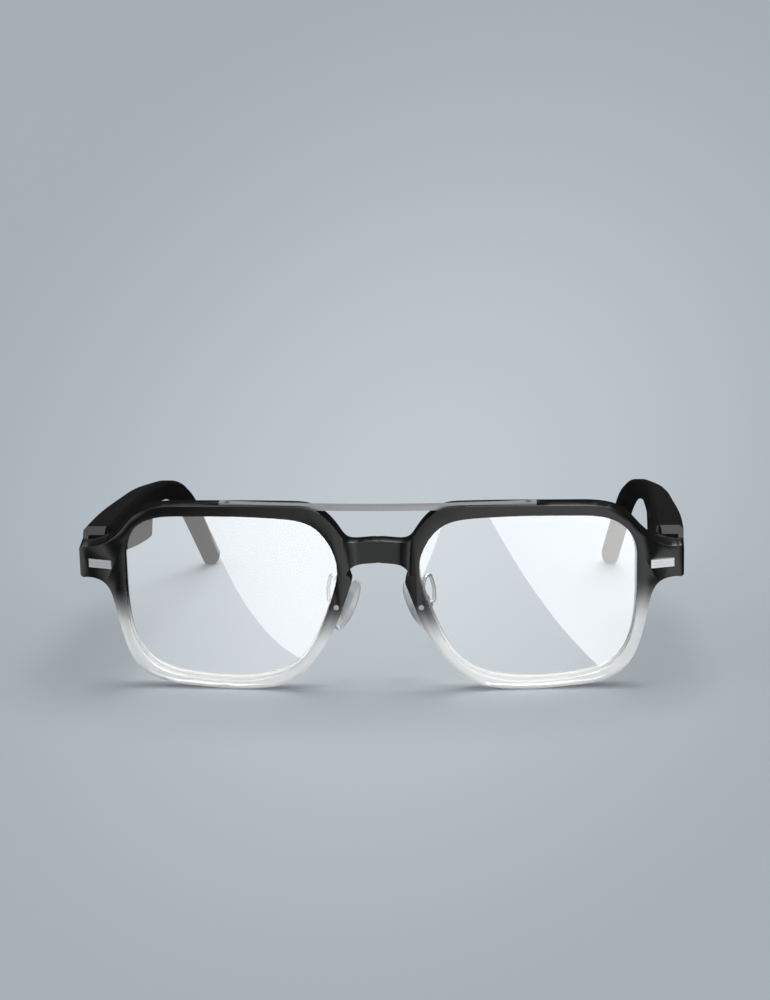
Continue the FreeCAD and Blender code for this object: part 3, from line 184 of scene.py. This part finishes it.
class Graph:
    """The node tree of a material, a light or the world."""

    def __init__(self, owner: Any) -> None:
        """Empties the owner's tree and takes it.

        Args:
            owner: a material, light or world.
        """
        owner.use_nodes = True
        self.tree = owner.node_tree
        self.tree.nodes.clear()

    def add(self, kind: str, settings: dict[str, Any] | None = None,
            sockets: dict[Any, Any] | None = None) -> bpy.types.Node:
        """Adds a node.

        Args:
            kind: the node's type name.
            settings: properties, set first.
            sockets: values, sockets or Values of its inputs by name or number.

        Returns:
            The new node.
        """
        node = self.tree.nodes.new(kind)
        for name, value in (settings or {}).items():
            setattr(node, name, value)
        for name, value in (sockets or {}).items():
            if isinstance(value, Value):
                self.tree.links.new(value.socket, node.inputs[name])
            elif isinstance(value, bpy.types.NodeSocket):
                self.tree.links.new(value, node.inputs[name])
            else:
                node.inputs[name].default_value = value
        return node

    def place(self) -> bpy.types.NodeSocket:
        """The point on the piece, in metres."""
        return self.add("ShaderNodeTexCoord").outputs["Object"]

    def parts(self, vector: bpy.types.NodeSocket) -> tuple[Value, Value, Value]:
        """A vector's three numbers."""
        node = self.add("ShaderNodeSeparateXYZ", None, {"Vector": vector})
        return tuple(Value(self, socket) for socket in node.outputs)

    def noise(self, scale: float, detail: float = 3.0,
              stretch: tuple[float, float, float] = (1, 1, 1)) -> Value:
        """Noise over the piece.

        Args:
            scale: how many blobs to a metre.
            detail: how many finer layers.
            stretch: how many times finer it is along each axis.

        Returns:
            The noise, about 0 to 1.
        """
        mapping = self.add("ShaderNodeMapping", None, {"Vector": self.place(), "Scale": stretch})
        node = self.add("ShaderNodeTexNoise", None,
                        {"Vector": mapping.outputs[0], "Scale": scale, "Detail": detail})
        return Value(self, node.outputs[0])

    def bump(self, height: Value, distance: float, strength: float = 1.0) -> bpy.types.NodeSocket:
        """A normal that follows a height, whose 1 stands for a distance in metres."""
        return self.add("ShaderNodeBump", None, {"Height": height, "Distance": distance,
                                                 "Strength": strength}).outputs[0]

    def blend(self, share: Value, first: Colour, second: Colour) -> bpy.types.NodeSocket:
        """A colour between two, the second where share is 1."""
        node = self.add("ShaderNodeMix", {"data_type": "RGBA"}, {"Factor": share, 6: first, 7: second})
        return node.outputs[2]

    def mix(self, share: Value | float, first: bpy.types.Node, second: bpy.types.Node) -> bpy.types.Node:
        """Two shaders mixed, the second where share is 1."""
        return self.add("ShaderNodeMixShader", None,
                        {0: share, 1: first.outputs[0], 2: second.outputs[0]})

    def surface(self, shader: bpy.types.Node) -> None:
        """Ends the material's tree."""
        self.add("ShaderNodeOutputMaterial", None, {"Surface": shader.outputs[0]})


@dataclass(frozen=True)
class Finish:
    """A finish: its name, and the material it makes once."""

    name: str

    def material(self) -> bpy.types.Material:
        """The finish's material, made on first use."""
        found = bpy.data.materials.get(self.name)
        if found is None:
            found = bpy.data.materials.new(self.name)
            self.shade(Graph(found))
        return found

    def shade(self, graph: Graph) -> None:
        """Fills the material's tree."""
        raise NotImplementedError

    def dress(self, piece: bpy.types.Object) -> None:
        """Gives the whole piece this finish."""
        piece.data.materials.clear()
        piece.data.materials.append(self.material())


@dataclass(frozen=True)
class Plastic(Finish):
    """Moulded or polished plastic with a fine surface grain."""

    colour: Colour = (0.0028, 0.0028, 0.003, 1.0)
    roughness: float = 0.2
    grain: float = 9000.0
    grain_height: float = 0.000002
    sheen_change: float = 0.06

    def shade(self, graph: Graph) -> None:
        """Grain in the normal, and a slow change of gloss."""
        grain = graph.noise(self.grain)
        change = graph.noise(60.0, 2.0)
        graph.surface(graph.add("ShaderNodeBsdfPrincipled", None, {
            "Base Color": self.colour,
            "Roughness": self.roughness + (change - 0.5) * self.sheen_change,
            "Normal": graph.bump(grain, self.grain_height)}))


@dataclass(frozen=True)
class FadingAcetate(Finish):
    """Acetate that is black above and clears towards the lower rims, higher up at the temples.

    The clear part also starts a little higher on the right than on the left.
    """

    colour: Colour = (0.0028, 0.0028, 0.003, 1.0)
    clear: Colour = (1.0, 0.99, 0.975, 1.0)
    fade_low: float = 0.0150
    fade_high: float = 0.0262
    nose_drop: float = 0.0030
    nose_at: float = 0.024
    temple_at: float = 0.056
    side_drop: float = 0.018
    cloud_height: float = 0.0016

    def shade(self, graph: Graph) -> None:
        """Mixes dark acetate with clear acetate by height."""
        across, _, up = graph.parts(graph.place())
        cloud = graph.noise(160.0, 2.0)
        drop = abs(across).ramp(self.temple_at, self.nose_at) * self.nose_drop
        level = up + drop - across * self.side_drop + (cloud - 0.5) * self.cloud_height
        clearing = level.ramp(self.fade_high, self.fade_low)
        polish = graph.bump(graph.noise(7000.0), 0.0000015)
        dark = graph.add("ShaderNodeBsdfPrincipled", None, {
            "Base Color": self.colour, "Roughness": 0.2 + (graph.noise(50.0, 2.0) - 0.5) * 0.05,
            "Normal": polish})
        clear = graph.add("ShaderNodeBsdfPrincipled", None, {
            "Base Color": self.clear, "Roughness": 0.04, "IOR": 1.49, "Transmission Weight": 0.62,
            "Normal": polish})
        graph.surface(graph.mix(clearing, dark, clear))


@dataclass(frozen=True)
class LensCoat(Finish):
    """A clear coated lens: it passes nearly all light and mirrors a little on its face."""

    tint: Colour = (0.992, 0.998, 0.998, 1.0)
    warm_glare: Colour = (1.0, 0.985, 0.965, 1.0)
    cool_glare: Colour = (0.985, 0.985, 0.98, 1.0)
    mirror: float = 2.1

    def shade(self, graph: Graph) -> None:
        """A see-through body with a mirror layer on the outside that grows with the angle."""
        open_body = graph.add("ShaderNodeBsdfTransparent", None, {"Color": self.tint})
        face = graph.add("ShaderNodeBsdfPrincipled", None, {
            "Base Color": graph.blend(graph.noise(40.0, 1.0), self.warm_glare, self.cool_glare),
            "Metallic": 1.0, "Roughness": 0.0})
        fresnel = Value(graph, graph.add("ShaderNodeFresnel", None, {"IOR": 1.5}).outputs[0])
        inner = Value(graph, graph.add("ShaderNodeNewGeometry").outputs["Backfacing"])
        graph.surface(graph.mix(fresnel * self.mirror * (1 - inner), open_body, face))


@dataclass(frozen=True)
class Metal(Finish):
    """Metal brushed along its length."""

    colour: Colour = (0.78, 0.79, 0.8, 1.0)
    roughness: float = 0.24
    brushed: tuple[float, float, float] = (1.0, 24.0, 24.0)
    scratch: float = 0.000002
    metallic: float = 1.0

    def shade(self, graph: Graph) -> None:
        """Fine lines along X in gloss and normal, with faint clouding."""
        lines = graph.noise(900.0, 4.0, self.brushed)
        cloud = graph.noise(120.0, 2.0)
        light = tuple(min(1.0, c * 1.12) for c in self.colour[:3]) + (1.0,)
        graph.surface(graph.add("ShaderNodeBsdfPrincipled", None, {
            "Base Color": graph.blend(cloud, self.colour, light), "Metallic": self.metallic,
            "Roughness": self.roughness + (lines - 0.5) * 0.16,
            "Normal": graph.bump(lines, self.scratch)}))


@dataclass(frozen=True)
class Silicone(Finish):
    """Clear soft silicone."""

    def shade(self, graph: Graph) -> None:
        """Mostly see-through, a little milky."""
        graph.surface(graph.add("ShaderNodeBsdfPrincipled", None, {
            "Base Color": (0.97, 0.98, 0.985, 1.0), "IOR": 1.41, "Transmission Weight": 0.62,
            "Roughness": 0.06 + graph.noise(500.0, 2.0) * 0.05,
            "Normal": graph.bump(graph.noise(2500.0, 2.0), 0.000004)}))


@dataclass(frozen=True)
class CircuitLacquer(Finish):
    """A coated circuit board with faint copper runs under the lacquer."""

    def shade(self, graph: Graph) -> None:
        """Green lacquer over paler runs."""
        wave = graph.add("ShaderNodeTexWave", {"bands_direction": "Z"},
                         {"Vector": graph.place(), "Scale": 700.0, "Distortion": 3.0, "Detail": 2.0})
        runs = Value(graph, wave.outputs[1]).ramp(0.62, 0.74)
        graph.surface(graph.add("ShaderNodeBsdfPrincipled", None, {
            "Base Color": graph.blend(runs, (0.01, 0.09, 0.04, 1.0), (0.06, 0.2, 0.09, 1.0)),
            "Roughness": 0.3 + runs * 0.1, "Normal": graph.bump(runs, 0.00003)}))


BLACK_HOUSING = Plastic("satin black nylon", roughness=0.26, sheen_change=0.05)
SPEAKER_CASE = Plastic("speaker case", colour=(0.02, 0.02, 0.022, 1.0), roughness=0.45, grain=5000.0)
GASKET = Plastic("matt rubber", colour=(0.012, 0.012, 0.012, 1.0), roughness=0.7, grain=4000.0)
FILM = Plastic("amber film", colour=(0.42, 0.2, 0.04, 1.0), roughness=0.3, grain=2000.0)
ACETATE = FadingAcetate("fading black acetate")
LENS = LensCoat("coated lens")
SILVER = Metal("brushed silver", colour=(0.62, 0.625, 0.63, 1.0), metallic=0.5)
STEEL = Metal("bright steel", colour=(0.62, 0.63, 0.65, 1.0), roughness=0.2)
RIVET = Metal("dull silver", colour=(0.36, 0.365, 0.37, 1.0), roughness=0.35, metallic=0.6)
GUNMETAL = Metal("brushed bar metal", colour=(0.33, 0.335, 0.345, 1.0), roughness=0.3, metallic=0.6)
BLACKENED = Metal("blackened metal", colour=(0.03, 0.03, 0.032, 1.0), roughness=0.35, brushed=(1.0, 1.0, 1.0))
FOIL = Metal("cell foil", colour=(0.66, 0.67, 0.69, 1.0), roughness=0.38, brushed=(1.0, 1.0, 1.0))
GOLD = Metal("gold plate", colour=(0.9, 0.66, 0.3, 1.0), roughness=0.22, brushed=(1.0, 1.0, 1.0))
SILICONE = Silicone("clear silicone")
BOARD = CircuitLacquer("board lacquer")


# ---------------------------------------------------------------- mesh helpers
def choose(piece: bpy.types.Object) -> None:
    """Makes a piece the only selected and the active object."""
    bpy.ops.object.select_all(action="DESELECT")
    piece.select_set(True)
    bpy.context.view_layer.objects.active = piece


def edit(piece: bpy.types.Object, work: Callable[[], None]) -> None:
    """Runs operators in edit mode with nothing selected to begin with."""
    choose(piece)
    bpy.ops.object.mode_set(mode="EDIT")
    bpy.ops.mesh.select_all(action="DESELECT")
    work()
    bpy.ops.object.mode_set(mode="OBJECT")


def settle(piece: bpy.types.Object, smooth_angle: float = 35.0) -> None:
    """Moves a piece's place into its mesh and shades it smooth up to an angle."""
    choose(piece)
    bpy.ops.object.transform_apply(location=True, rotation=True, scale=True)
    bpy.ops.object.shade_smooth_by_angle(angle=math.radians(smooth_angle))


def apply_modifier(piece: bpy.types.Object, kind: str, **settings: Any) -> None:
    """Adds a modifier and applies it.

    Args:
        piece: the mesh object.
        kind: the modifier's type.
        settings: its properties.
    """
    choose(piece)
    modifier = piece.modifiers.new(kind.lower(), kind)
    for name, value in settings.items():
        setattr(modifier, name, value)
    bpy.ops.object.modifier_apply(modifier=modifier.name)


@dataclass
class Assembly:
    """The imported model's nodes, and the pieces made around them."""

    nodes: dict[str, bpy.types.Object]
    made: list[str] = field(default_factory=list)

    def dress(self, node: str, finish: Finish, slot: Slot) -> None:
        """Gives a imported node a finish."""
        finish.dress(self.nodes[node])
        LOG.info("dressed %s with %s", node, finish.name)

    def welded_copy(self, node: str, name: str) -> bpy.types.Object:
        """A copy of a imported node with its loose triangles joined.

        Args:
            node: the node to copy.
            name: the copy's name.

        Returns:
            The copy, at the origin.
        """
        source = self.nodes[node]
        copy = bpy.data.objects.new(name, source.data.copy())
        bpy.context.scene.collection.objects.link(copy)
        choose(copy)
        if copy.data.has_custom_normals:
            bpy.ops.mesh.customdata_custom_splitnormals_clear()
        edit(copy, lambda: (bpy.ops.mesh.select_all(action="SELECT"),
                            bpy.ops.mesh.remove_doubles(threshold=0.0000005)))
        return copy

    def keep(self, piece: bpy.types.Object, body: str, finish: Finish, slot: Slot, *replaced: str) -> None:
        """Dresses a new piece, ties it to its body and hides what it stands for.

        Args:
            piece: the new piece.
            body: the body it moves with.
            finish: its finish.
            slot: the record's slot of that finish, not used.
            replaced: the nodes it stands for.
        """
        finish.dress(piece)
        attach(piece, body)
        if replaced:
            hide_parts(*replaced)
        self.made.append(piece.name)
        LOG.info("made %s on %s", piece.name, body)


# ---------------------------------------------------------------- the glasses
@dataclass
class Front:
    """The acetate front with its lenses, bar, plaques and rivets."""

    assembly: Assembly
    edge_bevel: float = 0.00028
    bevel_angle: float = 38.0

    def build(self) -> None:
        """Bevels the acetate and dresses what is fixed to it."""
        acetate = self.assembly.welded_copy("front_frame", "acetate_front")
        edit(acetate, lambda: (bpy.ops.mesh.select_all(action="SELECT"),
                               bpy.ops.mesh.dissolve_limited(angle_limit=math.radians(1.0))))
        apply_modifier(acetate, "BEVEL", width=self.edge_bevel, segments=2, limit_method="ANGLE",
                       angle_limit=math.radians(self.bevel_angle), use_clamp_overlap=True,
                       harden_normals=False)
        settle(acetate)
        self.assembly.keep(acetate, "front", ACETATE, Slot.ACETATE, "front_frame")
        for side in Side:
            self.assembly.dress(side.node("lens"), LENS, Slot.LENS)
            self.assembly.dress(side.node("plaque"), SILVER, Slot.SILVER)
        self.assembly.dress("brow_bar", GUNMETAL, Slot.GUNMETAL)
        self.assembly.dress("brow_bar_screws", STEEL, Slot.STEEL)
        self.assembly.dress("pad_arm_rivets", RIVET, Slot.SILVER)


@dataclass
class NosePads:
    """Clear pads on their wire arms."""

    assembly: Assembly

    def build(self) -> None:
        """Dresses both pads and their arms."""
        for side in Side:
            self.assembly.dress(side.node("nose_pad"), SILICONE, Slot.SILICONE)
            self.assembly.dress(side.node("nose_pad_insert"), STEEL, Slot.STEEL)
            self.assembly.dress(side.node("pad_arm"), STEEL, Slot.STEEL)
        self.assembly.dress("pad_screws", STEEL, Slot.STEEL)


@dataclass
class Temple:
    """One temple: its hinge, housing, ear piece and what the housing holds."""

    assembly: Assembly
    side: Side

    def build(self) -> None:
        """Dresses the temple's pieces."""
        dressed = {"temple_shell": (BLACK_HOUSING, Slot.HOUSING),
                   "temple_cover": (BLACK_HOUSING, Slot.HOUSING),
                   "ear_piece": (BLACK_HOUSING, Slot.HOUSING), "temple_gasket": (GASKET, Slot.GASKET),
                   "touch_sensor": (FILM, Slot.FILM), "charge_contacts": (GOLD, Slot.GOLD),
                   "speaker_mesh": (STEEL, Slot.STEEL), "wire_core": (STEEL, Slot.STEEL),
                   "battery": (FOIL, Slot.FOIL), "circuit_board": (BOARD, Slot.BOARD),
                   "speaker": (SPEAKER_CASE, Slot.SPEAKER), "microphone": (SILVER, Slot.SILVER),
                   "temple_hinge": (BLACKENED, Slot.BLACKENED), "leaf_screws": (STEEL, Slot.STEEL),
                   "front_hinge": (BLACKENED, Slot.BLACKENED)}
        for base, (finish, slot) in dressed.items():
            self.assembly.dress(self.side.node(base), finish, slot)


# ---------------------------------------------------------------- the studio
@dataclass(frozen=True)
class Sweep(Finish):
    """The pale floor, with a painted pool of light around the glasses and a painted contact shadow under each
    rim.
    """

    # Colours of the painted pool of light: middle is its painted bright centre, edge the floor further off.
    middle: Colour = (0.560, 0.605, 0.645, 1.0)
    edge: Colour = (0.400, 0.449, 0.482, 1.0)
    pool_start: float = 0.945
    pool_growth: float = 0.975
    pool_dip: float = 0.033
    pool_rise: float = 0.2145
    pool_reach: float = 0.155
    # Where the painted contact shadow under each rim lies, and its size, strength and colour.
    rims_at: tuple[float, float] = (0.037, -0.065)
    painted_shadow_half: tuple[float, float] = (0.030, 0.0042)
    painted_shadow_strength: float = 0.42
    painted_shadow_colour: Colour = (0.06, 0.07, 0.08, 1.0)

    def shade(self, graph: Graph) -> None:
        """A painted pool of light, long and soft, that widens as it runs back, and a painted contact shadow,
        a dark line where each rim rests.
        """
        across, back, _ = graph.parts(graph.place())
        width = back * self.pool_growth + self.pool_start
        sideways = across / width
        lengthways = (back * self.pool_rise - self.pool_dip) / width
        reach = (sideways * sideways + lengthways * lengthways) ** 0.5
        # Painted pool of light: the floor's colour goes from the bright middle to the darker edge with
        # distance from the glasses.
        shade = graph.blend(reach.ramp(0.0, self.pool_reach), self.middle, self.edge)
        # Painted contact shadow: a dark diffuse colour mixed in along the line where each lower rim rests.
        off_rim = (abs(across) - self.rims_at[0]) / self.painted_shadow_half[0]
        off_line = (back - self.rims_at[1]) / self.painted_shadow_half[1]
        painted_shadow = (off_rim * off_rim + off_line * off_line).ramp(1.0, 0.0) * self.painted_shadow_strength
        floor = graph.add("ShaderNodeBsdfDiffuse", None, {"Color": shade})
        dark = graph.add("ShaderNodeBsdfDiffuse", None, {"Color": self.painted_shadow_colour})
        graph.surface(graph.mix(painted_shadow, floor, dark))


@dataclass(frozen=True)
class Panel:
    """A big round lamp ahead of the glasses, stronger towards one side."""

    name: str
    middle: tuple[float, float, float]
    radius: float
    weak_at: float
    strong_at: float
    strength: float
    weak: float = 0.75

    def make(self) -> bpy.types.Object:
        """The lamp, which shows only in reflections."""
        light = bpy.data.lights.new(self.name, "AREA")
        light.shape = "DISK"
        light.size = 2 * self.radius
        light.energy = math.pi * math.pi * self.radius ** 2
        graph = Graph(light)
        across, _, _ = graph.parts(graph.add("ShaderNodeNewGeometry").outputs["Position"])
        level = self.weak + across.ramp(self.weak_at, self.strong_at) * (1 - self.weak)
        glow = graph.add("ShaderNodeEmission", None, {"Strength": level * self.strength})
        graph.add("ShaderNodeOutputLight", None, {"Surface": glow.outputs[0]})
        lamp = bpy.data.objects.new(self.name, light)
        bpy.context.scene.collection.objects.link(lamp)
        lamp.location = self.middle
        lamp.rotation_euler = (math.radians(90), 0, 0)
        for ray in ("camera", "diffuse", "transmission", "volume_scatter"):
            setattr(lamp, "visible_" + ray, False)
        return lamp


PANELS = (Panel("left_panel", (-0.0720, -0.330, -0.0247), 0.1301, -0.20, -0.04, 3.0),
          Panel("right_panel", (0.3933, -0.330, 0.2568), 0.4792, 0.07, 0.21, 3.9),
          Panel("veil_panel", (0.0, -0.500, -0.2000), 0.6000, 0.22, -0.25, 2.0, 0.35))


@dataclass
class Studio:
    """Floor, lamps, ambient light and camera."""

    middle: Vector
    floor_reach: float = 14.0
    wall_height: float = 3.0
    sky_power: float = 1.45
    sky_width: float = 50.0
    sky_from: tuple[float, float, float] = (0.15, 0.35, 1.0)
    fill_power: float = 2.6
    fill_width: float = 20.0
    fill_from: tuple[float, float, float] = (0.35, -0.8, 0.7)
    camera_from_middle: tuple[float, float, float] = (0.0555, -0.9184, 0.211432)
    dark_mirror: float = 0.02
    top_mirror: float = 1.0
    left_mirror: float = 0.75
    right_mirror: float = 0.7
    far_left_mirror: float = 1.6
    ambient_level: float = 0.56
    ambient_colour: Colour = (0.97, 0.985, 1.0, 1.0)
    camera_turn: float = 3.609
    camera_dip: float = 12.389
    camera_roll: float = -0.928
    lens_length: float = 130.18

    def build(self, lens_pieces: list[bpy.types.Object], others: list[bpy.types.Object],
              rims_at: tuple[float, float]) -> None:
        """Makes the studio around the glasses.

        Args:
            lens_pieces: what the round lamps light.
            others: what the fill light lights.
            rims_at: where a lower rim rests, across and back.
        """
        self.floor(rims_at)
        self.ambient()
        self.lamps()
        self.front_fill(others)
        self.lens_panels(lens_pieces)
        self.camera()

    def floor(self, rims_at: tuple[float, float]) -> None:
        """A round floor that turns up into a wall far away, with a painted contact shadow where the rims rest
        on it.
        """
        bpy.ops.mesh.primitive_circle_add(vertices=96, radius=self.floor_reach, fill_type="NGON")
        floor = bpy.context.object
        floor.name = "studio_floor"

        def raise_wall() -> None:
            """Extrudes the rim out and up."""
            bpy.ops.mesh.select_mode(type="EDGE")
            bpy.ops.mesh.select_all(action="SELECT")
            bpy.ops.mesh.extrude_edges_move(TRANSFORM_OT_translate={"value": (0, 0, 0)})
            bpy.ops.transform.resize(value=(1.25, 1.25, 1.0))
            bpy.ops.transform.translate(value=(0, 0, self.wall_height))

        edit(floor, raise_wall)
        settle(floor, 60.0)
        # The sweep's colour holds a painted pool of light and painted contact shadows under the rims.
        Sweep("studio sweep", rims_at=rims_at).dress(floor)
        floor.visible_glossy = False
        floor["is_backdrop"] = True

    def ambient(self) -> None:
        """Even light all round, but in reflections dark, with bright fields ahead, far left and above."""
        world = bpy.context.scene.world or bpy.data.worlds.new("studio")
        bpy.context.scene.world = world
        world.cycles.sampling_method = "NONE"
        graph = Graph(world)
        across, back, up = graph.parts(graph.add("ShaderNodeTexCoord").outputs["Generated"])
        glossy = Value(graph, graph.add("ShaderNodeLightPath").outputs["Is Glossy Ray"])
        ahead = back.ramp(0.15, -0.35)
        near = across.ramp(-0.48, -0.18) * self.left_mirror + across.ramp(-0.2, 0.45) * self.right_mirror
        far_left = across.ramp(-0.60, -0.72) * self.far_left_mirror
        sideways = near * across.ramp(0.56, 0.44) + far_left
        mirrored = self.dark_mirror + ahead * sideways + up.ramp(0.4, 0.95) * self.top_mirror
        level = glossy * mirrored + (1 - glossy) * self.ambient_level
        light = graph.add("ShaderNodeBackground", None, {"Color": self.ambient_colour, "Strength": level})
        graph.add("ShaderNodeOutputWorld", None, {"Surface": light.outputs[0]})

    def lamps(self) -> None:
        """A soft sky light from above, a little behind and to the right."""
        light = bpy.data.lights.new("soft_sky", "SUN")
        light.energy = self.sky_power
        light.angle = math.radians(self.sky_width)
        lamp = bpy.data.objects.new("soft_sky", light)
        bpy.context.scene.collection.objects.link(lamp)
        lamp.rotation_euler = Vector(self.sky_from).to_track_quat("Z", "Y").to_euler()

    def front_fill(self, pieces: list[bpy.types.Object]) -> None:
        """A light from the front and above that falls on the glasses alone."""
        light = bpy.data.lights.new("front_fill", "SUN")
        light.energy = self.fill_power
        light.angle = math.radians(self.fill_width)
        lamp = bpy.data.objects.new("front_fill", light)
        bpy.context.scene.collection.objects.link(lamp)
        lamp.rotation_euler = Vector(self.fill_from).to_track_quat("Z", "Y").to_euler()
        receivers = bpy.data.collections.new("lit_from_the_front")
        for piece in pieces:
            receivers.objects.link(piece)
        lamp.light_linking.receiver_collection = receivers

    def lens_panels(self, lens_pieces: list[bpy.types.Object]) -> None:
        """The big round lamps, which only the lenses mirror."""
        receivers = bpy.data.collections.new("mirrors_the_panels")
        for piece in lens_pieces:
            receivers.objects.link(piece)
        for panel in PANELS:
            lamp = panel.make()
            lamp.light_linking.receiver_collection = receivers

    def camera(self) -> None:
        """The camera in front, a little above and to the right."""
        data = bpy.data.cameras.new("camera")
        data.lens = self.lens_length
        data.clip_start, data.clip_end = 0.01, 60.0
        camera = bpy.data.objects.new("camera", data)
        bpy.context.scene.collection.objects.link(camera)
        turn, dip, roll = (math.radians(a) for a in (self.camera_turn, self.camera_dip, self.camera_roll))
        upright = Matrix.Rotation(turn, 3, "Z") @ Matrix.Rotation(math.pi / 2 - dip, 3, "X")
        camera.rotation_euler = (upright @ Matrix.Rotation(roll, 3, "Z")).to_euler()
        camera.location = self.middle + Vector(self.camera_from_middle)
        bpy.context.scene.camera = camera
        bpy.context.scene.view_settings.view_transform = "Standard"


def resting_place(piece: bpy.types.Object, height: float = 0.001) -> tuple[float, float]:
    """How far across and back a piece's lowest part lies, as the mean over both sides.

    Args:
        piece: the piece that stands on the floor.
        height: how far over its lowest point still counts, in metres.

    Returns:
        The distance from the middle plane, and the place back.
    """
    places = [vertex.co for vertex in piece.data.vertices]
    lowest = min(place.z for place in places)
    near = [place for place in places if place.z < lowest + height]
    return (sum(abs(place.x) for place in near) / len(near), sum(place.y for place in near) / len(near))


def main() -> None:
    """Builds the glasses and the studio."""
    logging.basicConfig(level=logging.INFO, format="%(name)s: %(message)s")
    for thing in list(bpy.data.objects):
        bpy.data.objects.remove(thing)
    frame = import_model()
    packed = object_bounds()
    assembly = Assembly(frame["nodes"])
    Front(assembly).build()
    NosePads(assembly).build()
    for side in Side:
        Temple(assembly, side).build()
    assembly.dress("hinge_screws", STEEL, Slot.STEEL)
    lenses = [frame["nodes"][side.node("lens")] for side in Side]
    others = [piece for piece in bpy.context.scene.objects if piece.type == "MESH" and piece not in lenses]
    Studio((packed[0] + packed[1]) / 2).build(lenses, others, resting_place(frame["nodes"]["front_frame"]))
    LOG.info("%d new pieces", len(assembly.made))


if __name__ == "__main__":
    main()
